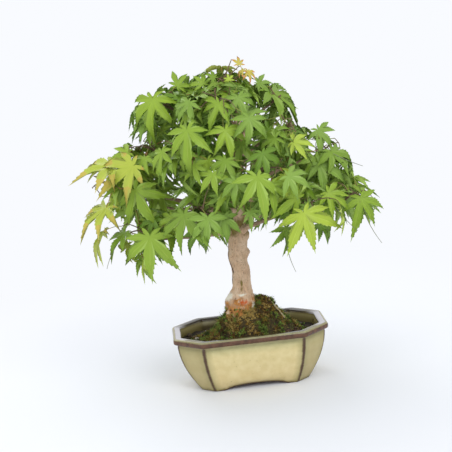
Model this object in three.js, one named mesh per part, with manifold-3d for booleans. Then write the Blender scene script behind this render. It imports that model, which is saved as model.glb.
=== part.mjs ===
// A small maple bonsai in a glazed pot with cut corners, about 31 cm tall.
// Units are millimetres and +Z is up. The origin is the middle of the pot's underside.
// +X is the viewer's right, and -Y points towards the viewer.
// The trunk, each bough and each mass of foliage is one closed solid of its own.

import * as THREE from 'three';
import { mergeVertices } from 'three/addons/utils/BufferGeometryUtils.js';
import Module from 'manifold-3d';

const wasm = await Module();
wasm.setup();

// Clearance kept between two solids that touch in the real thing.
const SEAT = 0.3;

// The pot: a rectangle with cut corners that narrows towards its foot.
const POT = {
  height: 53,
  base: { length: 105, width: 65, cutX: 12.5, cutY: 11 },
  shoulder: { length: 143, width: 85, cutX: 23.5, cutY: 21 },
  rim: { length: 150, width: 92, cutX: 25, cutY: 23 },
  shoulderHeight: 46.5,
  flarePower: 1.9,
  bodyLevels: [0, 4, 9, 15, 22, 30, 38, 46.5],
  rimWidth: 8,
  rimRound: 1.2,
  wall: 6,
  floor: 5,
  insideLevels: [5, 11, 18, 28, 40.5],
};
// The shallow arch under the middle of each long side.
const ARCH = { length: 58, rise: 4, depth: 9, steps: 10, overrun: 5 };

// The soil fills the pot to a little below its rim.
const SOIL = { top: 44.7, edgeTop: 42.6, crownInset: 14 };
const GROUND = SOIL.top + SEAT;

// The mound of moss: lumps of given height and spread on one outline.
const MOSS = {
  halfLength: 46,
  halfWidth: 27,
  edge: 1.6,
  sides: 18,
  rings: 5,
  merge: 4,
  ripples: [
    { waves: 3, size: 0.06, turn: 1 },
    { waves: 7, size: 0.04, turn: 0 },
  ],
  lumps: [
    { x: 16, y: 1, height: 33, spread: 23 },
    { x: -15, y: -2, height: 27, spread: 15 },
    { x: -1, y: -14, height: 25, spread: 16 },
    { x: 4, y: 14, height: 22, spread: 17 },
  ],
};

// The trunk's axis and girth by height, from the soil to the leading tip.
const TRUNK = {
  sides: 14,
  ringEvery: 9,
  // The cutter that clears its neighbours: how far it runs on below, and how much wider than the
  // seat it is, because the flat sides of a ring lie inside its corners.
  cutterRun: 5,
  cutterSeat: 1.2 * SEAT,
  stations: [
    { z: GROUND, x: -5, y: 0, r: 22 },
    { z: 52, x: -5, y: 0, r: 20.5 },
    { z: 60, x: -5.2, y: 0, r: 18.5 },
    { z: 70, x: -5.5, y: 0, r: 15.5 },
    { z: 80, x: -4.2, y: 0, r: 12.2 },
    { z: 90, x: -2.6, y: 0.5, r: 9 },
    { z: 108, x: -2.4, y: 1, r: 8.4 },
    { z: 123, x: -4, y: 1, r: 8.3 },
    { z: 141, x: -2.5, y: 0, r: 9.4 },
    { z: 155, x: -1.3, y: -1, r: 7.6 },
    { z: 180, x: 0, y: -1, r: 6 },
    { z: 205, x: 3, y: 1, r: 4.8 },
    { z: 235, x: 8, y: 3, r: 3.5 },
    { z: 266, x: 9, y: 1, r: 2 },
  ],
  // Swellings left where branches were cut, by height, side, size and spread.
  knobs: [
    { z: 124, azimuth: 0, size: 2.2, spread: 5 },
    { z: 143, azimuth: 15, size: 2.6, spread: 6 },
    { z: 150, azimuth: 175, size: 2.4, spread: 6 },
    { z: 81, azimuth: 185, size: 4.4, spread: 8 },
  ],
  // The root flare: buttress ridges that fade out by this height.
  flare: { ridges: 5, size: 0.16, top: 76, turn: 0.5 },
};

// Each bough and the mass of foliage that it carries. turn, reach and z place the mass's middle
// round the pot's axis, with turn 0 towards +X and 90 towards +Y. spread and thick are the mass's
// half sizes, from is the height where the bough leaves the trunk, and girth is its radius there.
const CROWN = [
  { name: 'left_low', turn: 194, reach: 98, z: 160, spread: 36, thick: 22, from: 147, girth: 3.4 },
  { name: 'right_low', turn: -46, reach: 88, z: 178, spread: 33, thick: 22, from: 146, girth: 3.6 },
  { name: 'back_low', turn: 88, reach: 80, z: 166, spread: 34, thick: 22, from: 153, girth: 3.2 },
  { name: 'front_low_left', turn: 240, reach: 78, z: 184, spread: 31, thick: 20, from: 167, girth: 2.9 },
  { name: 'right_tip', turn: -8, reach: 110, z: 172, spread: 34, thick: 24, from: 160, girth: 3.2 },
  { name: 'left_back', turn: 148, reach: 100, z: 180, spread: 33, thick: 22, from: 170, girth: 2.9 },
  { name: 'right_back', turn: 36, reach: 96, z: 182, spread: 34, thick: 22, from: 175, girth: 2.8 },
  { name: 'left_tip', turn: 183, reach: 122, z: 206, spread: 34, thick: 20, from: 159, girth: 3.7 },
  { name: 'front_middle', turn: -76, reach: 80, z: 214, spread: 32, thick: 22, from: 180, girth: 2.6 },
  { name: 'right_middle', turn: 2, reach: 94, z: 218, spread: 30, thick: 20, from: 187, girth: 2.6 },
  { name: 'back_middle_left', turn: 126, reach: 74, z: 228, spread: 32, thick: 22, from: 193, girth: 2.5 },
  { name: 'front_middle_left', turn: 234, reach: 80, z: 236, spread: 32, thick: 22, from: 200, girth: 2.4 },
  { name: 'left_middle', turn: 176, reach: 82, z: 236, spread: 28, thick: 18, from: 183, girth: 2.5 },
  { name: 'back_middle_right', turn: 54, reach: 72, z: 226, spread: 32, thick: 22, from: 207, girth: 2.3 },
  { name: 'front_middle_right', turn: -44, reach: 72, z: 248, spread: 30, thick: 20, from: 214, girth: 2.2 },
  { name: 'upper_left', turn: 181, reach: 62, z: 274, spread: 32, thick: 22, from: 222, girth: 2.2 },
  { name: 'upper_right', turn: 6, reach: 52, z: 270, spread: 28, thick: 20, from: 230, girth: 2 },
  { name: 'upper_back', turn: 100, reach: 44, z: 268, spread: 30, thick: 20, from: 238, girth: 1.9 },
  { name: 'upper_front', turn: -108, reach: 44, z: 276, spread: 29, thick: 19, from: 246, girth: 1.8 },
  { name: 'apex', turn: 180, reach: 2, z: 290, spread: 27, thick: 15, from: null, girth: 2 },
];
// A bough stops short of its mass's middle by this share of the spread, and below it by this
// share of the half thickness. It bends at two shares of its length, each with its share of the climb.
const BOUGH = {
  sides: 6,
  steps: 5,
  tipGirth: 1.5,
  short: 0.55,
  below: 0.4,
  bends: [
    { share: 0.36, climb: 0.5, sag: 0 },
    { share: 0.7, climb: 0.95, sag: 0.05 },
  ],
  sway: 0.07,
};

// How a mass grows: a stem, twigs that leave it, and leaves on stalks from the twigs.
const GROWTH = {
  seed: 20,
  twigs: 5,
  leaves: 11,
  cap: (118 * Math.PI) / 180,
  stem: { hubRise: 0.1, ahead: 0.35, back: 0.3, steps: 4, sides: 5 },
  axis: { out: 0.6, up: 0.8 },
  twigCap: 0.9,
  twigReach: { least: 0.56, range: 0.12 },
  twigSpring: 7,
  twigRise: 2.5,
  stemGirth: 1.5,
  twigRootGirth: 0.9,
  twigGirth: 1.3,
  twigTipGirth: 1,
  // Where leaf stalks leave a twig, as shares of its length.
  joints: [0.4, 0.58, 0.76, 0.94],
  stalkGirth: 0.5,
  stalkRootGirth: 0.38,
  stalkMost: 30,
  tries: 8,
  clearance: 0.7,
  guardEvery: 3,
};
// The leaf: five pointed lobes round its heart, which is where the stalk joins it.
const LEAF = {
  length: 27,
  thick: 1.4,
  lobes: [
    { angle: -84, reach: 0.6 },
    { angle: -40, reach: 0.9 },
    { angle: 0, reach: 1 },
    { angle: 40, reach: 0.9 },
    { angle: 84, reach: 0.6 },
  ],
  notch: 0.5,
  heel: 0.1,
  droop: 0.2,
  least: 0.78,
  range: 0.4,
  shell: { least: 0.86, range: 0.2, loose: 0.35 },
  // What the blade faces and where its middle lobe points, as weights of each direction.
  facing: { mass: 0.6, crown: 0.45, up: 0.4, loose: 0.9 },
  lie: { stalk: 0.5, crown: 0.4, down: 0.5, loose: 1.2 },
  crownMiddle: 185,
  // Spheres that guard a leaf where clearances are tested: one on the heart, and some along
  // each lobe, by share of its reach and radius.
  heartGuard: 2.6,
  lobeGuards: [[0.3, 2.6], [0.58, 2.4], [0.85, 1.5], [1, 0.5]],
};
// The leading shoots above the apex: a bare one, and one with a small new leaf.
const SHOOTS = [
  { x: 7.5, y: 1, top: 310, leaf: 0 },
  { x: 14, y: 2, top: 303, leaf: 10 },
];
const SHOOT = { bend: 0.6, leafRise: 2, joint: 0.96, facing: [0.2, -0.9, 0.3] };

const COLOURS = {
  glaze: 0xb9b386,
  soil: 0x4a3a2c,
  moss: 0x6f7436,
  bark: 0xa58d74,
  bough: 0x7d6550,
  leaf: 0x7fa43a,
  newLeaf: 0x9db843,
};

const UP = new THREE.Vector3(0, 0, 1);
const GOLDEN_TURN = Math.PI * (3 - Math.sqrt(5));
const radians = (degrees) => (degrees * Math.PI) / 180;
const vector = (x, y, z) => new THREE.Vector3(x, y, z);
const mix = (a, b, t) => a + (b - a) * t;

// A generator of even random numbers from 0 to 1, the same for the same seed.
function seededRandom(seed) {
  let state = seed >>> 0;
  return () => {
    state = (state + 0x6d2b79f5) >>> 0;
    let t = state;
    t = Math.imul(t ^ (t >>> 15), t | 1);
    t ^= t + Math.imul(t ^ (t >>> 7), t | 61);
    return ((t ^ (t >>> 14)) >>> 0) / 4294967296;
  };
}

// A closed indexed mesh from a list of points and a list of corner numbers.
function meshOf(points, index) {
  const geometry = new THREE.BufferGeometry();
  const flat = points.flatMap((p) => [p.x, p.y, p.z]);
  geometry.setAttribute('position', new THREE.Float32BufferAttribute(flat, 3));
  geometry.setIndex(index);
  return geometry;
}

function solidFrom(geometry) {
  const bare = new THREE.BufferGeometry();
  bare.setAttribute('position', geometry.getAttribute('position'));
  if (geometry.getIndex()) bare.setIndex(geometry.getIndex());
  const merged = mergeVertices(bare, 1e-4);
  return new wasm.Manifold(
    new wasm.Mesh({
      numProp: 3,
      vertProperties: new Float32Array(merged.getAttribute('position').array),
      triVerts: new Uint32Array(merged.getIndex().array),
    }),
  );
}

function geometryFrom(solid) {
  const mesh = solid.getMesh();
  const geometry = new THREE.BufferGeometry();
  geometry.setAttribute('position', new THREE.BufferAttribute(mesh.vertProperties, 3));
  geometry.setIndex(new THREE.BufferAttribute(mesh.triVerts, 1));
  geometry.computeVertexNormals();
  return geometry;
}

// Joins rings of equal count, listed along the loft, and closes both ends with flat fans.
function ringLoft(rings) {
  const count = rings[0].length;
  const last = (rings.length - 1) * count;
  const index = [];
  for (let r = 0; r + 1 < rings.length; r++) {
    for (let i = 0; i < count; i++) {
      const a = r * count + i;
      const b = r * count + ((i + 1) % count);
      index.push(a, b, b + count, a, b + count, a + count);
    }
  }
  for (let i = 1; i + 1 < count; i++) {
    index.push(0, i + 1, i, last, last + i, last + i + 1);
  }
  return meshOf(rings.flat(), index);
}

// The eight corners of a rectangle with cut corners, at one height.
function cutCornerRing({ length, width, cutX, cutY }, z) {
  const x = length / 2;
  const y = width / 2;
  return [
    [x, -y + cutY], [x, y - cutY], [x - cutX, y], [-x + cutX, y],
    [-x, y - cutY], [-x, -y + cutY], [-x + cutX, -y], [x - cutX, -y],
  ].map(([px, py]) => vector(px, py, z));
}

// One plan of the pot between two others, or inset from one by a wall.
function planBetween(low, high, t) {
  return Object.fromEntries(Object.keys(low).map((key) => [key, mix(low[key], high[key], t)]));
}
function planInset(plan, inset) {
  const keep = 1 - Math.SQRT1_2;
  return {
    length: plan.length - 2 * inset,
    width: plan.width - 2 * inset,
    cutX: plan.cutX - inset * keep,
    cutY: plan.cutY - inset * keep,
  };
}
// The pot's body swells quickly above the foot and then rises more steeply.
function bodyPlan(z) {
  const t = 1 - (1 - z / POT.shoulderHeight) ** POT.flarePower;
  return planBetween(POT.base, POT.shoulder, t);
}

function potSolid() {
  const { height, rim, shoulderHeight, rimWidth, rimRound, wall } = POT;
  const lipFoot = shoulderHeight + rimRound;
  const outside = POT.bodyLevels.map((z) => cutCornerRing(bodyPlan(z), z));
  const lip = [
    cutCornerRing(planInset(rim, rimRound), lipFoot - rimRound / 2),
    cutCornerRing(rim, lipFoot + rimRound),
    cutCornerRing(rim, height - rimRound),
    cutCornerRing(planInset(rim, rimRound), height),
    cutCornerRing(planInset(rim, rimWidth - rimRound), height),
    cutCornerRing(planInset(rim, rimWidth), height - rimRound),
  ];
  const inside = POT.insideLevels.toReversed().map((z) => cutCornerRing(planInset(bodyPlan(z), wall), z));
  let pot = solidFrom(ringLoft([...outside, ...lip, ...inside]));
  for (const side of [-1, 1]) pot = pot.subtract(archCutter(side));
  return pot;
}

// A half ellipse along X, pushed through the lower edge of one long side.
function archCutter(side) {
  const outline = new THREE.Shape();
  outline.moveTo(-ARCH.length / 2, -1);
  for (let i = 0; i <= ARCH.steps; i++) {
    const turn = Math.PI * (1 - i / ARCH.steps);
    outline.lineTo((ARCH.length / 2) * Math.cos(turn), ARCH.rise * Math.sin(turn));
  }
  outline.lineTo(ARCH.length / 2, -1);
  const outer = POT.base.width / 2 + ARCH.overrun;
  const inner = POT.base.width / 2 - ARCH.depth;
  const geometry = new THREE.ExtrudeGeometry(outline, { depth: outer - inner, bevelEnabled: false });
  // The outline's own Y becomes Z, and the extrusion runs back along Y from its outer end.
  geometry.rotateX(Math.PI / 2);
  geometry.translate(0, side > 0 ? outer : -inner, 0);
  return solidFrom(geometry);
}

function soilGeometry() {
  const bed = (z) => planInset(bodyPlan(z), POT.wall + SEAT);
  const levels = [POT.floor + SEAT, ...POT.insideLevels.slice(1), SOIL.edgeTop];
  const top = cutCornerRing(planInset(bed(SOIL.edgeTop), SOIL.crownInset), SOIL.top);
  return ringLoft([...levels.map((z) => cutCornerRing(bed(z), z)), top]);
}

// The moss stands above the soil by a rounded maximum of its lumps.
function mossHeight(x, y) {
  const total = MOSS.lumps.reduce((sum, lump) => {
    const distance = Math.hypot(x - lump.x, y - lump.y) / lump.spread;
    return sum + (lump.height * Math.exp(-distance * distance)) ** MOSS.merge;
  }, 0);
  return total ** (1 / MOSS.merge);
}

function mossSolid(trunkCutter) {
  const { halfLength, halfWidth, edge, sides, rings } = MOSS;
  const points = [vector(0, 0, GROUND)];
  const index = [];
  const at = (r, i) => 1 + r * sides + (i % sides);
  for (let r = 0; r <= rings; r++) {
    // Ring 0 is the lower edge, ring 1 the upper edge, and the rest close in to the middle.
    const share = r === 0 ? 1 : 1 - (r - 1) / rings;
    for (let i = 0; i < sides; i++) {
      const turn = (2 * Math.PI * i) / sides;
      const ripple = MOSS.ripples.reduce((sum, r) => sum + r.size * Math.sin(r.waves * turn + r.turn), 1);
      const x = halfLength * ripple * share * Math.cos(turn);
      const y = halfWidth * ripple * share * Math.sin(turn);
      points.push(vector(x, y, r === 0 ? GROUND : GROUND + edge + mossHeight(x, y) * (1 - share ** 4)));
      if (r > 0) {
        index.push(at(r - 1, i), at(r - 1, i + 1), at(r, i + 1), at(r - 1, i), at(r, i + 1), at(r, i));
      } else {
        index.push(0, at(0, i + 1), at(0, i));
      }
    }
  }
  points.push(vector(0, 0, GROUND + edge + mossHeight(0, 0)));
  for (let i = 0; i < sides; i++) index.push(points.length - 1, at(rings, i), at(rings, i + 1));
  return solidFrom(meshOf(points, index)).subtract(trunkCutter);
}

// The trunk's axis and girth at a height, by straight steps between the stations.
function trunkAt(z) {
  const { stations } = TRUNK;
  const upper = Math.max(1, stations.findIndex((s) => s.z >= z));
  const [low, high] = [stations[upper - 1], stations[upper]];
  const t = (z - low.z) / (high.z - low.z);
  return { x: mix(low.x, high.x, t), y: mix(low.y, high.y, t), r: mix(low.r, high.r, t) };
}

// The trunk's radius towards one azimuth: its girth, the root ridges and the knobs.
function trunkRadius(z, azimuth, girth) {
  const { flare, knobs } = TRUNK;
  const rise = Math.max(0, (flare.top - z) / (flare.top - GROUND));
  let radius = girth * (1 + flare.size * rise * Math.cos(flare.ridges * azimuth + flare.turn));
  for (const knob of knobs) {
    const across = Math.sin((azimuth - radians(knob.azimuth)) / 2) * 2 * girth;
    const distance = Math.hypot(across, z - knob.z) / knob.spread;
    radius += knob.size * Math.exp(-distance * distance);
  }
  return radius;
}

// With extra, the trunk swollen by that much, which cuts its neighbours clear of it.
function trunkGeometry(extra = 0) {
  const heights = [];
  for (let i = 0; i + 1 < TRUNK.stations.length; i++) {
    const [low, high] = [TRUNK.stations[i].z, TRUNK.stations[i + 1].z];
    const steps = Math.max(1, Math.round((high - low) / TRUNK.ringEvery));
    for (let k = 0; k < steps; k++) heights.push(mix(low, high, k / steps));
  }
  heights.push(TRUNK.stations.at(-1).z);
  if (extra > 0) {
    heights.unshift(GROUND - TRUNK.cutterRun);
    heights.push(TRUNK.stations.at(-1).z + 2 * extra);
  }
  const rings = heights.map((z) => {
    const level = Math.min(Math.max(z, GROUND), TRUNK.stations.at(-1).z);
    const { x, y, r } = trunkAt(level);
    return Array.from({ length: TRUNK.sides }, (_, i) => {
      const turn = (2 * Math.PI * i) / TRUNK.sides;
      const radius = trunkRadius(level, turn, r) + extra;
      return vector(x + radius * Math.cos(turn), y + radius * Math.sin(turn), z);
    });
  });
  return ringLoft(rings);
}

// Points along a cubic curve from its four control points.
function bezier([a, b, c, d], steps) {
  return Array.from({ length: steps + 1 }, (_, i) => {
    const t = i / steps;
    const s = 1 - t;
    return vector(0, 0, 0)
      .addScaledVector(a, s * s * s)
      .addScaledVector(b, 3 * s * s * t)
      .addScaledVector(c, 3 * s * t * t)
      .addScaledVector(d, t * t * t);
  });
}

// A tapering limb: rings square to its path, carried along it without twisting.
function limbGeometry({ points, girths }, sides) {
  let side = null;
  const rings = points.map((point, i) => {
    const before = points[Math.max(0, i - 1)];
    const after = points[Math.min(points.length - 1, i + 1)];
    const along = after.clone().sub(before).normalize();
    const start = side ?? (Math.abs(along.z) < 0.9 ? UP : vector(1, 0, 0));
    side = start.clone().addScaledVector(along, -start.dot(along)).normalize();
    const across = along.clone().cross(side);
    return Array.from({ length: sides }, (_, k) => {
      const turn = (2 * Math.PI * k) / sides;
      return point
        .clone()
        .addScaledVector(side, girths[i] * Math.cos(turn))
        .addScaledVector(across, girths[i] * Math.sin(turn));
    });
  });
  return ringLoft(rings);
}

const taper = (from, to, count) => Array.from({ length: count }, (_, i) => mix(from, to, i / (count - 1)));

function massCentre({ turn, reach, z }) {
  return vector(reach * Math.cos(radians(turn)), reach * Math.sin(radians(turn)), z);
}

// A bough leaves the trunk's axis, rises and levels out, and ends inside its mass's near side.
function boughPath(mass, index) {
  const root = trunkAt(mass.from);
  const start = vector(root.x, root.y, mass.from);
  const centre = massCentre(mass);
  const outward = centre.clone().sub(start).setZ(0);
  const length = outward.length() - BOUGH.short * mass.spread;
  outward.normalize();
  const across = outward.clone().cross(UP).multiplyScalar((index % 2 ? 1 : -1) * BOUGH.sway * length);
  const tip = start.clone().addScaledVector(outward, length).setZ(centre.z - BOUGH.below * mass.thick);
  const [lower, upper] = BOUGH.bends.map(({ share, climb, sag }, k) =>
    start
      .clone()
      .addScaledVector(outward, share * length)
      .addScaledVector(across, k === 0 ? 1 : -1)
      .setZ(mix(start.z, tip.z, climb) - sag * length),
  );
  const points = bezier([start, lower, upper, tip], BOUGH.steps);
  return { points, girths: taper(mass.girth, BOUGH.tipGirth, points.length) };
}

// Spheres along a limb, which stand for it where clearances are tested.
function limbSpheres({ points, girths }) {
  const spheres = [];
  for (let i = 0; i + 1 < points.length; i++) {
    const steps = Math.max(1, Math.ceil(points[i].distanceTo(points[i + 1]) / GROWTH.guardEvery));
    for (let k = 0; k <= steps; k++) {
      const t = k / steps;
      spheres.push({ at: points[i].clone().lerp(points[i + 1], t), r: mix(girths[i], girths[i + 1], t) });
    }
  }
  return spheres;
}

// The smallest gap between two sets of spheres.
function gapBetween(ours, others) {
  let least = Infinity;
  for (const a of ours) {
    for (const b of others) {
      const reach = least + a.r + b.r;
      const dx = a.at.x - b.at.x;
      if (dx > reach || dx < -reach) continue;
      const gap = a.at.distanceTo(b.at) - a.r - b.r;
      if (gap < least) least = gap;
    }
  }
  return least;
}

// Direction number i of count, spread evenly over a cap round an axis by the golden turn.
function capDirection(axis, i, count, cap) {
  const cosine = 1 - ((1 - Math.cos(cap)) * (i + 0.5)) / count;
  const sine = Math.sqrt(1 - cosine * cosine);
  const side = axis.clone().cross(Math.abs(axis.z) < 0.95 ? UP : vector(1, 0, 0)).normalize();
  const across = axis.clone().cross(side);
  return axis
    .clone()
    .multiplyScalar(cosine)
    .addScaledVector(side, sine * Math.cos(GOLDEN_TURN * i))
    .addScaledVector(across, sine * Math.sin(GOLDEN_TURN * i));
}

const jitter = (random, size) =>
  vector((random() - 0.5) * size, (random() - 0.5) * size, (random() - 0.5) * size);

// The stem and twigs of one mass. The stem starts a seat's width past the bough's tip.
function growTwigs(mass, bearer, random, blocked) {
  const centre = massCentre(mass);
  const tip = bearer.points.at(-1);
  const heading = tip.clone().sub(bearer.points.at(-2)).normalize();
  const start = tip.clone().addScaledVector(heading, SEAT);
  const form = GROWTH.stem;
  const hub = centre.clone().setZ(centre.z + form.hubRise * mass.thick);
  const ahead = start.clone().addScaledVector(heading, form.ahead * start.distanceTo(hub));
  const stemPoints = bezier([start, ahead, hub.clone().lerp(start, form.back), hub], form.steps);
  const stemGirth = Math.min(GROWTH.stemGirth, bearer.girths.at(-1));
  const stem = { points: stemPoints, girths: taper(stemGirth, GROWTH.twigGirth, form.steps + 1) };
  const axis = vector(centre.x, centre.y, 0).normalize().multiplyScalar(bearer.lead ? 0 : GROWTH.axis.out);
  axis.addScaledVector(UP, GROWTH.axis.up).normalize();
  const twigs = [];
  for (let i = 0; i < GROWTH.twigs; i++) {
    const direction = capDirection(axis, i, GROWTH.twigs, GROWTH.cap * GROWTH.twigCap);
    const reach = GROWTH.twigReach.least + GROWTH.twigReach.range * random();
    const end = centre
      .clone()
      .add(vector(direction.x * mass.spread, direction.y * mass.spread, direction.z * mass.thick)
        .multiplyScalar(reach));
    const root = stemPoints[1 + (i % form.steps)];
    const bend = jitter(random, GROWTH.twigSpring).setZ(GROWTH.twigRise);
    const twig = twigThrough(root, root.clone().lerp(end, 0.5).add(bend), end);
    const outer = { points: twig.points.slice(1), girths: twig.girths.slice(1) };
    if (gapBetween(limbSpheres(outer), blocked) > GROWTH.clearance) twigs.push(twig);
  }
  return { centre, axis, stem, twigs, leaves: [] };
}

// A twig from its root through its middle to its end, with the joints that its leaves use.
function twigThrough(root, middle, end) {
  const joints = GROWTH.joints.map((share) => ({
    at: share < 0.5 ? root.clone().lerp(middle, share * 2) : middle.clone().lerp(end, share * 2 - 1),
    free: true,
  }));
  const girths = [GROWTH.twigRootGirth, GROWTH.twigGirth, GROWTH.twigTipGirth];
  return { points: [root, middle, end], girths, joints };
}

// The leading shoots rise from the hub of the topmost mass, and one carries a small new leaf.
function growShoots(grown) {
  const hub = grown.stem.points.at(-1);
  for (const shoot of SHOOTS) {
    const end = vector(shoot.x, shoot.y, shoot.top);
    const bend = hub.clone().lerp(end, SHOOT.bend);
    grown.twigs.push(twigThrough(hub, bend, end));
    if (shoot.leaf === 0) continue;
    const normal = vector(...SHOOT.facing).normalize();
    const along = UP.clone().addScaledVector(normal, -normal.z).normalize();
    const heart = end.clone().addScaledVector(UP, SHOOT.leafRise);
    grown.leaves.push({ root: bend.lerp(end, SHOOT.joint), heart, normal, along, size: shoot.leaf });
  }
}

// The rim's points as angles and reaches: each lobe's tip, the notch after it, and the heel.
function rimPoints() {
  return LEAF.lobes.flatMap((lobe, i) => {
    const next = LEAF.lobes[i + 1];
    const notch = next
      ? [(lobe.angle + next.angle) / 2, LEAF.notch * Math.min(lobe.reach, next.reach)]
      : [180, LEAF.heel];
    return [[lobe.angle, lobe.reach], notch];
  });
}
const rimAngles = () => rimPoints().map(([angle]) => angle);

// The rim of a leaf, from the tip of its first lobe round to its heel, about its heart.
function leafRim(leaf) {
  const across = leaf.normal.clone().cross(leaf.along);
  return rimPoints().map(([angle, reach]) =>
    leaf.heart
      .clone()
      .addScaledVector(leaf.along, leaf.size * reach * Math.cos(radians(angle)))
      .addScaledVector(across, leaf.size * reach * Math.sin(radians(angle)))
      .addScaledVector(leaf.normal, -leaf.size * LEAF.droop * reach * reach),
  );
}

// Spheres on a leaf's lobes and heart, which stand for it where clearances are tested.
function leafSpheres(leaf) {
  const rim = leafRim(leaf);
  const spheres = [{ at: leaf.heart, r: LEAF.heartGuard }];
  for (let i = 0; i < rim.length; i += 2) {
    for (const [share, r] of LEAF.lobeGuards) {
      spheres.push({ at: leaf.heart.clone().lerp(rim[i], share), r });
    }
  }
  return spheres;
}

// One leaf at direction number i of its mass: its stalk, heart, normal and lie.
function leafAt(mass, grown, i, count, random) {
  const { centre, axis, twigs } = grown;
  const { shell, facing, lie } = LEAF;
  const direction = capDirection(axis, i, count, GROWTH.cap).add(jitter(random, shell.loose)).normalize();
  const share = shell.least + shell.range * random();
  const heart = centre
    .clone()
    .add(vector(direction.x * mass.spread, direction.y * mass.spread, direction.z * mass.thick)
      .multiplyScalar(share));
  const joint = twigs
    .flatMap((twig) => twig.joints.filter(({ free }) => free))
    .reduce((near, next) => (next.at.distanceTo(heart) < near.at.distanceTo(heart) ? next : near));
  const stalk = heart.clone().sub(joint.at);
  const length = Math.min(stalk.length(), GROWTH.stalkMost);
  stalk.normalize();
  heart.copy(joint.at).addScaledVector(stalk, length);
  const fromCrown = heart.clone().sub(vector(0, 0, LEAF.crownMiddle)).normalize();
  const normal = heart.clone().sub(centre).normalize()
    .multiplyScalar(facing.mass)
    .addScaledVector(fromCrown, facing.crown)
    .addScaledVector(UP, facing.up)
    .add(jitter(random, facing.loose))
    .normalize();
  const along = stalk
    .multiplyScalar(lie.stalk)
    .addScaledVector(fromCrown, lie.crown)
    .addScaledVector(UP, -lie.down)
    .add(jitter(random, lie.loose));
  along.addScaledVector(normal, -along.dot(normal)).normalize();
  const size = LEAF.length * (LEAF.least + LEAF.range * random());
  return { root: joint.at, joint, heart, normal, along, size };
}

// Leaves are tried a few times each, and the try with the most room is kept.
// A leaf that would touch a limb, another mass or another leaf at every try is left out.
function growLeaves(mass, grown, random, blocked) {
  const own = grown.leaves.flatMap(leafSpheres);
  for (let i = 0; i < GROWTH.leaves; i++) {
    let best = null;
    for (let k = 0; k < GROWTH.tries; k++) {
      const leaf = leafAt(mass, grown, i, GROWTH.leaves, random);
      const spheres = leafSpheres(leaf);
      spheres.push({ at: leaf.root.clone().lerp(leaf.heart, 0.5), r: GROWTH.stalkGirth });
      const room = gapBetween(spheres, own);
      if (room < 0 || gapBetween(spheres, blocked) < GROWTH.clearance) continue;
      if (!best || room > best.room) best = { leaf, spheres, room };
    }
    if (best) {
      best.leaf.joint.free = false;
      grown.leaves.push(best.leaf);
      own.push(...best.spheres);
    }
  }
  return own;
}

// A leaf and its stalk are one thin solid, sharp all round the leaf's rim. One face rises to a
// point over the heart, and the three-sided stalk grows out of the face nearer to its root.
function leafGeometry(leaf) {
  const rim = leafRim(leaf);
  const count = rim.length;
  const across = leaf.normal.clone().cross(leaf.along);
  const towards = leaf.root.clone().sub(leaf.heart).normalize();
  const face = towards.dot(leaf.normal) > 0 ? 1 : -1;
  const middle = (sign) => leaf.heart.clone().addScaledVector(leaf.normal, (sign * LEAF.thick) / 2);
  const slant = leaf.normal.clone().addScaledVector(towards, face).normalize();
  const stalk = [
    ...stalkRing(middle(face), slant, across, GROWTH.stalkGirth),
    ...stalkRing(leaf.root, towards.multiplyScalar(face), across, GROWTH.stalkRootGirth),
  ];
  const apex = count + 6;
  const index = [];
  // Each point of the rim joins the nearest corner of the stalk's upper end.
  const corner = rimAngles().map((angle) => count + ((Math.round((angle + 270) / 120)) % 3));
  for (let i = 0; i < count; i++) {
    const next = (i + 1) % count;
    index.push(apex, next, i, i, next, corner[i]);
    if (corner[next] !== corner[i]) index.push(corner[i], next, corner[next]);
  }
  for (let k = 0; k < 3; k++) {
    const a = count + k;
    const b = count + ((k + 1) % 3);
    index.push(a, b, b + 3, a, b + 3, a + 3);
  }
  index.push(count + 3, count + 4, count + 5);
  if (face < 0) index.reverse();
  return meshOf([...rim, ...stalk, middle(-face)], index);
}

// Three points of a stalk's section, square to its heading, from the side direction given.
function stalkRing(at, heading, side, girth) {
  const first = side.clone().addScaledVector(heading, -side.dot(heading)).normalize();
  const second = heading.clone().cross(first);
  return [0, 1, 2].map((k) => {
    const turn = (2 * Math.PI * k) / 3;
    return at
      .clone()
      .addScaledVector(first, girth * Math.cos(turn))
      .addScaledVector(second, girth * Math.sin(turn));
  });
}

function massSolid(grown) {
  const pieces = [
    solidFrom(limbGeometry(grown.stem, GROWTH.stem.sides)),
    ...grown.twigs.map((twig) => solidFrom(limbGeometry(twig, 3))),
    ...grown.leaves.map((leaf) => solidFrom(leafGeometry(leaf))),
  ];
  const whole = wasm.Manifold.union(pieces);
  // The largest body is the mass, and a sealed hollow or a loose scrap is dropped with the rest.
  const bodies = whole.decompose().sort((a, b) => b.volume() - a.volume());
  return bodies[0];
}

const model = new THREE.Group();
function addPiece(name, geometry, color, roughness) {
  const material = new THREE.MeshStandardMaterial({ color, roughness, metalness: 0 });
  const mesh = new THREE.Mesh(geometry, material);
  mesh.name = name;
  model.add(mesh);
}

const trunkCutter = solidFrom(trunkGeometry(TRUNK.cutterSeat));
addPiece('pot', geometryFrom(potSolid()), COLOURS.glaze, 0.25);
addPiece('soil', soilGeometry(), COLOURS.soil, 1);
addPiece('moss_mound', geometryFrom(mossSolid(trunkCutter)), COLOURS.moss, 1);
addPiece('trunk', trunkGeometry(), COLOURS.bark, 0.85);

const boughs = CROWN.map((mass, i) => (mass.from === null ? null : boughPath(mass, i)));
boughs.forEach((bough, i) => {
  if (bough === null) return;
  const solid = solidFrom(limbGeometry(bough, BOUGH.sides)).subtract(trunkCutter);
  addPiece(`bough_${CROWN[i].name}`, geometryFrom(solid), COLOURS.bough, 0.85);
});

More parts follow.
